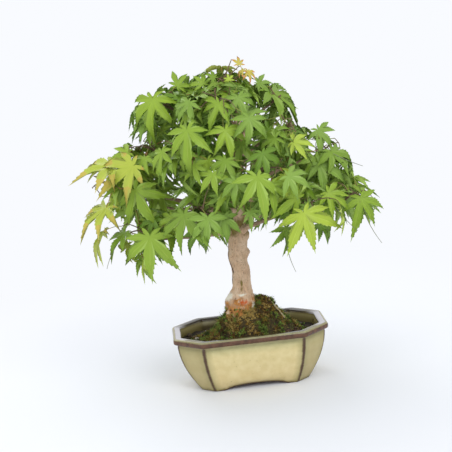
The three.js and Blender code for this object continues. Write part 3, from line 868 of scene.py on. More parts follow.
@dataclass(frozen=True)
class Mass:
    """A bough and its mass of foliage.

    turn, reach and z place its middle round the pot's axis, spread and thick are its half sizes,
    leaves is the height where the bough leaves the trunk, and girth its radius there.
    """

    name: str
    turn: float
    reach: float
    z: float
    spread: float
    thick: float
    leaves: float | None
    girth: float

    def centre(self) -> Array:
        """Its middle."""
        turn = math.radians(self.turn)
        return vector(self.reach * math.cos(turn), self.reach * math.sin(turn), self.z)

    def inside(self, direction: Array, share: float) -> Array:
        """The point at a share of its half sizes in a direction from its middle."""
        return self.centre() + direction * vector(self.spread, self.spread, self.thick) * share


CROWN = tuple(
    Mass(*row)
    for row in (
        ("left_low", 194, 98, 160, 36, 22, 147, 3.4),
        ("right_low", -46, 88, 178, 33, 22, 146, 3.6),
        ("back_low", 88, 80, 166, 34, 22, 153, 3.2),
        ("front_low_left", 240, 78, 184, 31, 20, 167, 2.9),
        ("right_tip", -8, 110, 172, 34, 24, 160, 3.2),
        ("left_back", 148, 100, 180, 33, 22, 170, 2.9),
        ("right_back", 36, 96, 182, 34, 22, 175, 2.8),
        ("left_tip", 183, 122, 206, 34, 20, 159, 3.7),
        ("front_middle", -76, 80, 214, 32, 22, 180, 2.6),
        ("right_middle", 2, 94, 218, 30, 20, 187, 2.6),
        ("back_middle_left", 126, 74, 228, 32, 22, 193, 2.5),
        ("front_middle_left", 234, 80, 236, 32, 22, 200, 2.4),
        ("left_middle", 176, 82, 236, 28, 18, 183, 2.5),
        ("back_middle_right", 54, 72, 226, 32, 22, 207, 2.3),
        ("front_middle_right", -44, 72, 248, 30, 20, 214, 2.2),
        ("upper_left", 181, 62, 274, 32, 22, 222, 2.2),
        ("upper_right", 6, 52, 270, 28, 20, 230, 2),
        ("upper_back", 100, 44, 268, 30, 20, 238, 1.9),
        ("upper_front", -108, 44, 276, 29, 19, 246, 1.8),
        ("apex", 180, 2, 290, 27, 15, None, 2),
    )
)


@dataclass
class Grown:
    """What has grown in one mass, its draws, and the spheres that guard its limbs and leaves."""

    mass: Mass
    random: SeededRandom
    axis: Array
    stem: Limb
    controls: list[Array]
    twigs: list[Twig]
    leaves: list[Leaf] = field(default_factory=list)
    fine: list[Twig] = field(default_factory=list)
    threads: list[Array] = field(default_factory=list)
    guards: Array = field(default_factory=lambda: np.empty((0, 4)))

    def nearest_joint(self, shares: Row, place: Array) -> tuple[Twig, float]:
        """The twig, and the share of its length, whose joint lies nearest to a place."""
        joints = [(twig, share) for twig in self.twigs for share in shares]
        return min(joints, key=lambda found: float(np.linalg.norm(found[0].joint(found[1]) - place)))


@dataclass(frozen=True)
class Sight:
    """The photograph's view of the tree, from a fit of its camera to the pot and the trunk.

    Distance, and the aim across and up, are in millimetres, the turns in degrees, and the focal
    length and the frame's size in pixels. The pot is held tilted in the photograph and stands
    level here, so the camera carries the tilt as roll.
    """

    distance: float = 1000
    yaw: float = 3.69
    pitch: float = 10.75
    roll: float = 5.57
    across: float = -12.7
    height: float = 153.0
    focal: float = 1039.0
    size: float = 452

    def axes(self) -> tuple[Array, Array]:
        """Stands the camera up by its turns.

        Returns:
            Its right, up and backward axes as rows, and its place.
        """
        yaw, pitch, roll = np.radians([self.yaw, self.pitch, self.roll])
        side = vector(math.cos(yaw), -math.sin(yaw), 0)
        level = vector(math.sin(yaw), math.cos(yaw), 0)
        forward = level * math.cos(pitch) - UP * math.sin(pitch)
        above = level * math.sin(pitch) + UP * math.cos(pitch)
        right = side * math.cos(roll) - above * math.sin(roll)
        up = side * math.sin(roll) + above * math.cos(roll)
        place = side * self.across + UP * self.height - forward * self.distance
        return np.stack([right, up, -forward]), place

    def pixels(self, points: Array) -> Array:
        """Where points show in the photograph, and how far before the camera they are.

        Args:
            points: shape (..., 3).

        Returns:
            Rows of X and Y in pixels and the distance in millimetres.
        """
        axes, place = self.axes()
        right, up, back = np.moveaxis((points - place) @ axes.T, -1, 0)
        middle = self.size / 2
        return np.stack([middle - self.focal * right / back, middle + self.focal * up / back, -back], -1)

    def nearest(self, x: float, y: float, point: Array) -> Array:
        """The point that shows at a pixel and lies nearest to the point given."""
        axes, place = self.axes()
        ray = unit(vector(x - self.size / 2, self.size / 2 - y, -self.focal) @ axes)
        return place + ray * float((point - place) @ ray)


@dataclass
class Canopy:
    """The crown's outline and gaps in the photograph, and what of it is covered while it grows.

    cell is the size of the picture's cells that count as covered or not, tip the share of the
    heart's radius under which a leaf's sphere is only a tip, and margin how near a leaf may come
    before a marked one. marked holds the pixels and distances of the marked leaves' spheres.
    """

    sight: Sight
    # In the photograph's pixels: the crown's outline clockwise from the left tip, and the larger
    # gaps, each with its radius.
    outline: tuple[Row, ...] = (
        *((67, 178), (86, 163), (107, 155), (115, 144), (132, 138), (131, 106), (152, 88), (172, 78)),
        *((174, 70), (205, 66), (250, 64), (266, 79), (288, 96), (303, 118), (320, 118), (344, 142)),
        *((353, 176), (373, 185), (384, 216), (350, 224), (334, 246), (310, 238), (292, 258)),
        *((268, 230), (250, 229), (228, 242), (184, 256), (168, 254), (152, 280), (122, 270)),
        *((96, 256), (72, 234), (92, 206), (104, 184)),
    )
    gaps: tuple[Row, ...] = (
        *((165, 145, 4), (155, 159, 3), (141, 142, 3), (304, 124, 6), (315, 145, 7), (334, 164, 3)),
        *((315, 172, 3), (280, 122, 3), (291, 112, 3), (176, 176, 3), (168, 196, 3), (189, 206, 4)),
        *((105, 192, 5), (100, 179, 3), (111, 226, 7), (131, 226, 7), (123, 254, 4), (174, 245, 5)),
        *((190, 240, 4), (346, 218, 3), (333, 211, 3), (262, 227, 4), (304, 231, 3), (279, 238, 4)),
    )
    cell: float = 5
    tip: float = 0.3
    margin: float = 3.6
    covered: set[tuple[int, int]] = field(default_factory=set)
    marked: Array = field(default_factory=lambda: np.empty((0, 3)))

    def fits(self, spheres: Array) -> bool:
        """Whether a leaf, but for its tips, shows inside the outline, and hides no gap or marked leaf.

        A point is inside if a level line from it to the left crosses the outline an odd number
        of times.

        Args:
            spheres: the leaf's, with its heart's first.

        Returns:
            Whether it fits.
        """
        x, y, far = self.sight.pixels(spheres[:, :3]).T[:, :, None]
        a = np.array(self.outline)
        b = np.roll(a, 1, axis=0)
        crossed = (a[:, 1] > y) != (b[:, 1] > y)
        slope = (b[:, 0] - a[:, 0]) / np.where(a[:, 1] == b[:, 1], 1, b[:, 1] - a[:, 1])
        inside = (crossed & (a[:, 0] + (y - a[:, 1]) * slope < x)).sum(1) % 2 == 1
        blade = spheres[:, 3] > self.tip * spheres[0, 3]
        gap_x, gap_y, radius = np.array(self.gaps).T
        blocking = np.hypot(x - gap_x, y - gap_y) < radius
        over = np.hypot(x - self.marked[:, 0], y - self.marked[:, 1]) < self.margin
        hiding = over & (far < self.marked[:, 2])
        return bool(inside[blade].all() and not blocking.any() and not hiding.any())

    def cells(self, spheres: Array) -> set[tuple[int, int]]:
        """The cells of the picture that a leaf shows in."""
        return set(map(tuple, np.floor(self.sight.pixels(spheres[:, :3])[:, :2] / self.cell).astype(int)))


# The leaves that stand out in the photograph, by the mass that bears them: the heart's pixel, the
# way that the middle lobe points in the picture in degrees, its length in pixels, how far the blade
# turns away from the viewer about it in degrees, how far before the mass's middle the leaf hangs as
# a share of the spread, its tone, and the pixel where a dry thread from it ends, if it has one.
MARKS: dict[str, tuple[Row, ...]] = {
    "left_tip": (
        *((106, 208, -141, 40, 52, 0.3, 7), (135, 190, -52, 40, 28, 0.7, 4)),
        *((133, 166, -150, 43, 15, 0.6, 7), (112, 165, -166, 48, 55, 0.2, 7)),
    ),
    "left_low": (
        *((150, 237, -90, 42, 15, 0.6, 4), (153, 219, -100, 22, 20, 0.3, 1)),
        *((125, 233, -125, 28, 55, 0, 2, 107, 269), (172, 218, -115, 24, 20, 0.5, 4)),
    ),
    "front_low_left": (
        *((184, 215, -91, 40, 38, 0.2, 2), (208, 218, -88, 33, 5, 0.7, 3), (213, 173, -75, 27, 15, 0.8, 4)),
    ),
    "left_middle": ((128, 153, -160, 24, 30, 0.3, 5), (152, 123, -125, 30, 45, 0, 2)),
    "upper_left": (
        *((153, 99, -93, 37, 28, 0.5, 5), (150, 117, -147, 28, 50, 0.1, 3), (177, 86, 58, 19, 0, 0, 4)),
    ),
    "front_middle_left": ((187, 130, -84, 37, 18, 0.9, 4),),
    "upper_front": (
        *((225, 130, -68, 33, 22, 0.9, 5), (249, 118, -88, 31, 15, 0.9, 3), (238, 97, -75, 27, 20, 0.4, 3)),
        *((219, 103, -112, 27, 15, 0.6, 4), (241, 143, -96, 26, 20, 0.4, 2)),
    ),
    "front_middle": (
        *((226, 160, -112, 27, 15, 0.5, 2), (262, 153, -70, 28, 25, 0.4, 1), (257, 177, -76, 37, 30, 0.9, 4)),
        *((288, 176, -22, 30, 20, 0.7, 3), (236, 181, -92, 27, 10, 0.8, 3), (250, 212, -80, 17, 0, 0.3, 3)),
    ),
    "front_middle_right": ((293, 142, -5, 24, 20, 0.3, 6), (292, 132, 0, 18, 40, -0.2, 0)),
    "right_middle": (
        *((318, 130, -48, 26, 20, 0, 3), (331, 152, -52, 34, 40, 0.3, 2, 363, 166)),
        (319, 163, -33, 35, 15, 0.5, 3),
    ),
    "right_tip": ((361, 198, -60, 34, 10, 0.4, 4, 382, 243), (328, 193, -38, 30, 15, 0.7, 5, 358, 231)),
    "right_low": (
        *((304, 213, -66, 42, 0, 0.8, 6), (286, 228, -93, 26, 45, 0.2, 2, 296, 272)),
        (319, 224, -60, 26, 50, 0.2, 1),
    ),
    "upper_right": ((258, 84, 15, 17, 20, 0, 3), (271, 92, -42, 40, 55, 0, 2)),
    "apex": (
        *((203, 84, 129, 18, 20, 0, 4), (214, 78, 150, 14, 30, 0, 2), (229, 80, 100, 10, 0, 0.4, 6)),
        *((248, 71, -80, 12, 35, 0, 8), (243, 70, -120, 11, 50, 0.1, 8)),
    ),
}


def gap_between(ours: Array, others: Array) -> float:
    """The smallest gap between two sets of spheres, without end where one is empty."""
    apart = np.linalg.norm(ours[:, None, :3] - others[:, :3], axis=-1)
    return float((apart - ours[:, None, 3] - others[:, 3]).min(initial=math.inf))


def cap_direction(axis: Array, number: float, count: int, cap: float) -> Array:
    """One of several directions that are spread evenly over a cap by the golden turn.

    Args:
        axis: the middle of the cap.
        number: which direction, from 0.
        count: how many there are.
        cap: the angle from the axis to the cap's edge, in radians.

    Returns:
        The direction, of length one.
    """
    cosine = 1 - ((1 - math.cos(cap)) * (number + 0.5)) / count
    sine = math.sqrt(max(0.0, 1 - cosine * cosine))
    side = unit(np.cross(axis, UP if abs(axis[2]) < 0.95 else vector(1, 0, 0)))
    across = np.cross(axis, side)
    turn = GOLDEN_TURN * number
    return axis * cosine + side * (sine * math.cos(turn)) + across * (sine * math.sin(turn))


@dataclass(frozen=True)
class GrowthRule:
    """The seeded rule by which each mass grows on a trunk: the solids' rule, with finer twigs added.

    seat is the gap between two solids at a joint, and cap the angle from a mass's axis over which
    its twigs and leaves spread. shell is the least share of the half sizes at which a heart lies,
    the range above it and its chance. What facing, lie and the leaf sizes hold, turned tells.
    """

    trunk: Trunk
    canopy: Canopy
    seed: int = 20
    seat: float = 0.3
    twigs: int = 5
    leaves: int = 11
    cap: float = math.radians(118)
    twig_cap: float = 0.9
    twig_reach: Row = (0.56, 0.12)
    twig_girths: Row = (0.9, 1.3, 1.0)
    joints: Row = (0.4, 0.58, 0.76, 0.94)
    stalk_most: float = 30
    stalk_girth: float = 0.5
    tries: int = 8
    clearance: float = 0.7
    leaf_length: float = 27
    leaf_sizes: Row = (0.78, 0.4)
    droop: float = 0.2
    shell: Row = (0.86, 0.2, 0.35)
    facing: Row = (0.6, 0.45, 0.4, 0.9)
    lie: Row = (0.5, 0.4, 0.5, 1.2)
    crown_middle: float = 185
    # Angle and reach of the lobes that the tests know.
    lobes: tuple[Row, ...] = ((-84, 0.6), (-40, 0.9), (0, 1.0), (40, 0.9), (84, 0.6))
    heart_guard: float = 2.6
    lobe_guards: tuple[Row, ...] = ((0.3, 2.6), (0.58, 2.4), (0.85, 1.5), (1, 0.5))
    # Leading shoots: X, Y, height of the tip and length of the leaf there, if it has one.
    shoots: tuple[Row, ...] = ((7.5, 1, 310, 0), (14, 2, 303, 10))
    stalk_marked: float = 15
    # The finer twigs, which the solids leave out, and the leaves of each.
    fine_seed: int = 900
    fine_twigs: int = 9
    fine_joints: Row = (0.3, 0.5, 0.68, 0.86)
    fine_pair: Row = (9.0, 8.0)
    fine_facing: Row = (0.4, 0.5, 0.5, 1.3)
    fine_sizes: Row = (0.66, 0.5)
    fine_guard: float = 0.45
    fine_hearts: float = 1.35
    fine_reach: float = 1.85
    fine_overlap: float = -0.6
    # The numbers of the first spray on finer twigs and of the first marked leaf's.
    fine_spray: int = 10
    marked_spray: int = 40

    def bough(self, mass: Mass, steps: int) -> Limb:
        """The bough from the trunk's middle to its mass: it rises and levels out with a slight sway.

        Every other bough of the table sways to the other side.

        Args:
            mass: the mass at its tip.
            steps: how many steps its curve has.

        Returns:
            The bough as a limb.
        """
        x, y, _ = self.trunk.at(mass.leaves)
        start, centre = vector(x, y, mass.leaves), mass.centre()
        outward = (centre - start) * vector(1, 1, 0)
        length = float(np.linalg.norm(outward)) - 0.55 * mass.spread
        outward = unit(outward)
        across = np.cross(outward, UP) * (1 if CROWN.index(mass) % 2 else -1) * 0.07 * length
        tip = start + outward * length
        tip[2] = centre[2] - 0.4 * mass.thick
        lower = start + outward * 0.36 * length + across
        lower[2] = mix(start[2], tip[2], 0.5)
        upper = start + outward * 0.7 * length - across
        upper[2] = mix(start[2], tip[2], 0.95) - 0.05 * length
        return Limb(bezier([start, lower, upper, tip], steps), np.linspace(mass.girth, 1.5, steps + 1))

    def stem_and_twigs(self, mass: Mass, bearer: Limb, blocked: Array) -> Grown:
        """Starts one mass: its stem, from a seat's width past its bearer's tip, and its twigs.

        Args:
            mass: the mass.
            bearer: its bough, or the trunk for the mass on the leading tip.
            blocked: spheres that the twigs keep clear of.

        Returns:
            The mass with no leaves yet.
        """
        random = SeededRandom(self.seed + CROWN.index(mass))
        centre, tip = mass.centre(), bearer.points[-1]
        heading = unit(tip - bearer.points[-2])
        start = tip + heading * self.seat
        hub = centre + UP * 0.1 * mass.thick
        ahead = start + heading * 0.35 * float(np.linalg.norm(start - hub))
        controls = [start, ahead, mix(hub, start, 0.3), hub]
        points = bezier(controls, 4)
        stem = Limb(points, np.linspace(min(1.5, float(bearer.girths[-1])), 1.3, 5))
        axis = unit(unit(centre * vector(1, 1, 0)) * (0.6 if mass.leaves else 0.0) + UP * 0.8)
        twigs = []
        for i in range(self.twigs):
            direction = cap_direction(axis, i, self.twigs, self.cap * self.twig_cap)
            end = mass.inside(direction, self.twig_reach[0] + self.twig_reach[1] * random())
            root = points[1 + i % 4]
            bend = random.jitter(7)
            bend[2] = 2.5
            twig = Twig(np.stack([root, mix(root, end, 0.5) + bend, end]))
            outer = Limb(twig.ends[1:], np.array(self.twig_girths[1:]))
            if gap_between(outer.spheres(), blocked) > self.clearance:
                twigs.append(twig)
        return Grown(mass, random, axis, stem, controls, twigs)

    def shoot(self, grown: Grown) -> None:
        """Lets the leading shoots rise from the hub of the topmost mass.

        Args:
            grown: the mass.
        """
        hub = grown.stem.points[-1]
        for x, y, top, size in self.shoots:
            end = vector(x, y, top)
            bend = mix(hub, end, 0.6)
            grown.twigs.append(Twig(np.stack([hub, bend, end]), 1.0))
            if size:
                normal = unit(vector(0.2, -0.9, 0.3))
                along = unit(UP - normal * normal[2])
                grown.leaves.append(Leaf(mix(bend, end, 0.96), end + UP * 2, normal, along, size))

    def leaf_spheres(self, leaf: Leaf, scale: float = 1.0) -> Array:
        """Spheres on a leaf's heart and lobes, which stand for it where clearances are tested.

        Args:
            leaf: the leaf.
            scale: of their radii.

        Returns:
            Rows of X, Y, Z and radius, the heart's first.
        """
        across = np.cross(leaf.normal, leaf.along)
        rows = [[*leaf.heart, self.heart_guard * scale]]
        for angle, reach in self.lobes:
            turn = math.radians(angle)
            tip = leaf.along * math.cos(turn) + across * math.sin(turn)
            tip = leaf.size * (reach * tip - self.droop * reach * reach * leaf.normal)
            rows += [[*(leaf.heart + tip * share), radius * scale] for share, radius in self.lobe_guards]
        return np.array(rows)

    def leaf_at(self, grown: Grown, number: int) -> tuple[Leaf, Twig, int]:
        """One try at a leaf on the free joint that is nearest to it.

        Args:
            grown: the mass so far.
            number: which of the mass's directions it grows in.

        Returns:
            The leaf, the twig that bears it and the number of the joint.
        """
        least, spread, loose = self.shell
        direction = cap_direction(grown.axis, number, self.leaves, self.cap)
        direction = unit(direction + grown.random.jitter(loose))
        heart = grown.mass.inside(direction, least + spread * grown.random())
        joints = [(twig, k) for twig in grown.twigs for k in range(4) if k not in twig.taken]
        free = [(twig, k, twig.joint(self.joints[k])) for twig, k in joints]
        twig, k, root = min(free, key=lambda found: float(np.linalg.norm(found[2] - heart)))
        stalk = unit(heart - root)
        heart = root + stalk * min(float(np.linalg.norm(heart - root)), self.stalk_most)
        leaf = self.turned(grown, root, heart, stalk, (self.facing, self.lie, self.leaf_sizes))
        leaf.spray = grown.twigs.index(twig)
        return leaf, twig, k

    def turned(
        self, grown: Grown, root: Array, heart: Array, stalk: Array, habit: tuple[Row, Row, Row]
    ) -> Leaf:
        """Turns a leaf to the light: its blade faces outward and up, and it lies along its stalk.

        Args:
            grown: its mass.
            root: where the stalk starts.
            heart: where it ends.
            stalk: its heading.
            habit: how far the blade faces out of the mass, out of the crown, up and by chance, how
                far it lies along the stalk, out of the crown, down and by chance, and its least
                size and the range of sizes.

        Returns:
            The leaf.
        """
        facing, lie, sizes = habit
        from_crown = unit(heart - UP * self.crown_middle)
        normal = unit(heart - grown.mass.centre()) * facing[0] + from_crown * facing[1]
        normal = unit(normal + UP * facing[2] + grown.random.jitter(facing[3]))
        along = stalk * lie[0] + from_crown * lie[1] - UP * lie[2] + grown.random.jitter(lie[3])
        along = unit(along - normal * float(along @ normal))
        size = self.leaf_length * (sizes[0] + sizes[1] * grown.random())
        return Leaf(root, heart, normal, along, size)

    def mark(self, grown: Grown) -> None:
        """Hangs a mass's marked leaves, each on a stalk from the nearest point of a twig.

        The blade faces the viewer but for its turn, which is taken outward. A stalk longer than
        that of other leaves gets a fine twig for its first part.

        Args:
            grown: the mass so far.
        """
        sight, marks = self.canopy.sight, MARKS.get(grown.mass.name, ())
        right, up, back = sight.axes()[0]
        for number, (x, y, lie, reach, turn, front, tone, *thread) in enumerate(marks):
            middle = grown.mass.centre() + back * front * grown.mass.spread
            heart = sight.nearest(x, y, middle)
            lie, turn = math.radians(lie), math.radians(turn)
            along = right * math.cos(lie) + up * math.sin(lie)
            side = np.cross(along, back)
            outward = math.copysign(1, float(side @ (heart - UP * self.crown_middle)))
            normal = unit(back * math.cos(turn) + side * outward * math.sin(turn) + UP * 0.15)
            along = unit(along - normal * float(along @ normal))
            size = reach * sight.pixels(heart)[2] / sight.focal
            bearer, share = grown.nearest_joint((*self.fine_joints, 1.0), heart)
            bearer.used = max(bearer.used, share)
            root = bearer.joint(share)
            away = heart - root
            length = float(np.linalg.norm(away))
            if length > self.stalk_marked * 1.3:
                end = heart - unit(away) * self.stalk_marked
                bend = mix(root, end, 0.5) + UP * 0.08 * length
                grown.fine.append(Twig(np.stack([root, bend, end]), 1.0))
                root = end
            spray = self.marked_spray + number
            grown.leaves.append(Leaf(root, heart, normal, along, size, spray, tone))
            if thread:
                end = sight.nearest(*thread, heart)
                sway = right * 0.07 * float(np.linalg.norm(end - heart))
                middle = mix(heart, end, 0.5) - back * 1.5 - sway
                grown.threads.append(np.stack([heart - normal * 0.4, middle, end]))

    def first_leaves(self, grown: Grown, blocked: Array) -> None:
        """Grows the leaves that the solids have too, apart from those outside the canopy.

        Each is tried a few times, the try with the most room is kept, and a leaf that would touch
        a limb, another mass or another leaf at every try is left out.

        Args:
            grown: the mass so far.
            blocked: spheres of all else.
        """
        own = np.concatenate([np.empty((0, 4)), *map(self.leaf_spheres, grown.leaves)])
        for number in range(self.leaves):
            best = None
            for _ in range(self.tries):
                leaf, twig, k = self.leaf_at(grown, number)
                stalk = [*mix(leaf.root, leaf.heart, 0.5), self.stalk_girth]
                spheres = np.vstack([self.leaf_spheres(leaf), stalk])
                room = gap_between(spheres, own)
                free = room >= 0 and gap_between(spheres, blocked) >= self.clearance
                if free and self.canopy.fits(spheres) and (best is None or room > best[0]):
                    best = (room, leaf, spheres, twig, k)
            if best is not None:
                _, leaf, spheres, twig, k = best
                twig.taken.add(k)
                twig.used = max(twig.used, self.joints[k] + 0.03)
                grown.leaves.append(leaf)
                self.canopy.covered.update(self.canopy.cells(spheres))
                own = np.vstack([own, spheres])
        grown.guards = np.concatenate([grown.guards, own])

    def finer(self, grown: Grown, blocked: Array) -> None:
        """Carries the mass to finer twigs, each with a pair of leaves at its end and one between.

        A fine twig leaves the nearest point of a twig for its own direction of the cap, at an
        inner share of the mass's half sizes. Its leaves are smaller, and thinner guards let them
        lie closer together than the solids' leaves may. Of a leaf's tries, the one that closes
        most of the canopy and has the most room is kept.

        Args:
            grown: the mass so far.
            blocked: spheres of all that has grown near it.
        """
        mass, centre, canopy = grown.mass, grown.mass.centre(), self.canopy
        random = grown.random = SeededRandom(self.fine_seed + CROWN.index(mass))
        own = np.empty((0, 4))
        for number in range(self.fine_twigs):
            direction = cap_direction(grown.axis, number + 0.4, self.fine_twigs, self.cap * 1.1)
            direction = unit(direction + random.jitter(0.5))
            end = mass.inside(direction, 0.4 + 0.45 * random())
            bearer, share = grown.nearest_joint(self.fine_joints, end)
            root = bearer.joint(share)
            bend = random.jitter(0.24 * float(np.linalg.norm(end - root))) + UP
            fine = Twig(np.stack([root, mix(root, end, 0.5) + bend, end]))
            outward = unit(end - root + UP * 0.2)
            level = unit(np.cross(outward, UP) + random.jitter(0.4))
            for side, start in ((1, end), (-1, end), (0, fine.joint(0.55))):
                best = None
                for _ in range(self.tries):
                    leaf = self.fine_leaf(grown, start, outward * 0.7 + level * side * 0.9)
                    leaf.spray = self.fine_spray + number
                    spheres = self.leaf_spheres(leaf, self.fine_guard)
                    off = (leaf.heart - centre) / (mass.spread, mass.spread, mass.thick)
                    reach = np.linalg.norm(spheres[:, :3] - centre, axis=1).max()
                    far = np.linalg.norm(off) > self.fine_hearts or reach > self.fine_reach * mass.spread
                    if far or not canopy.fits(spheres):
                        continue
                    room = min(gap_between(spheres, own), gap_between(spheres, blocked))
                    worth = min(room, 1.5) + 0.4 * len(canopy.cells(spheres) - canopy.covered)
                    if room > self.fine_overlap and (best is None or worth > best[0]):
                        best = (worth, leaf, spheres)
                if best is not None:
                    grown.leaves.append(best[1])
                    canopy.covered.update(canopy.cells(best[2]))
                    own = np.vstack([own, best[2]])
                    fine.used = max(fine.used, 1.0 if side else 0.57)
            if fine.used:
                grown.fine.append(fine)
                bearer.used = max(bearer.used, share + 0.02)
        grown.guards = np.concatenate([grown.guards, own])

    def fine_leaf(self, grown: Grown, start: Array, away: Array) -> Leaf:
        """One leaf of a fine twig: high in the crown it points outward, further down it hangs.

        Args:
            grown: its mass.
            start: where its stalk starts.
            away: the way that the stalk mostly goes.

        Returns:
            The leaf.
        """
        away = away - UP * 0.25 + grown.random.jitter(1.0)
        heart = start + unit(away) * (self.fine_pair[0] + self.fine_pair[1] * grown.random())
        lie = (0.6, 0.5, 0.6 * float(smooth(290, 200, heart[2])), 1.3)
        return self.turned(grown, start, heart, unit(away), (self.fine_facing, lie, self.fine_sizes))

    def grow(self) -> list[Grown]:
        """Grows every mass in the table's order: twigs, marked leaves, the solids' leaves, the rest.

        Returns:
            The masses.
        """
        line, canopy = self.trunk.line(), self.canopy
        boughs = [self.bough(mass, 5) if mass.leaves else None for mass in CROWN]
        limbs = [limb.spheres() for limb in (line, *filter(None, boughs))]
        found: list[Grown] = []
        for mass, bough in zip(CROWN, boughs):
            blocked = np.concatenate([*limbs, *(grown.guards for grown in found)])
            grown = self.stem_and_twigs(mass, bough or line, blocked)
            if bough is None:
                self.shoot(grown)
            self.mark(grown)
            parts = [grown.stem, *(Limb(twig.ends, np.array(self.twig_girths)) for twig in grown.twigs)]
            leaves = [self.leaf_spheres(leaf) for leaf in grown.leaves]
            grown.guards = np.concatenate([*(part.spheres() for part in parts), *leaves])
            spots = [canopy.sight.pixels(rows[:, :3]) for rows in leaves]
            canopy.marked = np.concatenate([canopy.marked, *spots])
            found.append(grown)

        def around(grown: Grown) -> Array:
            """The spheres of all limbs and other masses near one mass."""
            others = np.concatenate([*limbs, *(other.guards for other in found if other is not grown)])
            near = np.linalg.norm(others[:, :3] - grown.mass.centre(), axis=1)
            return others[near < grown.mass.spread + 60]

        for grown in found:
            self.first_leaves(grown, around(grown))
        for grown in found:
            blocked = np.concatenate([around(grown), grown.guards]) * (1, 1, 1, self.fine_guard)
            self.finer(grown, blocked)
        return found


# Leaves


class LeafFace(IntEnum):
    """Which part of a leaf a face is on."""

    TOP = 0
    VEIN = 1
    UNDER = 2
    TIP = 3


def columns(leaves: Sequence[Leaf], *names: str) -> list[Array]:
    """The named values of all leaves, one array for each name."""
    return [np.array([getattr(leaf, name) for leaf in leaves]) for name in names]


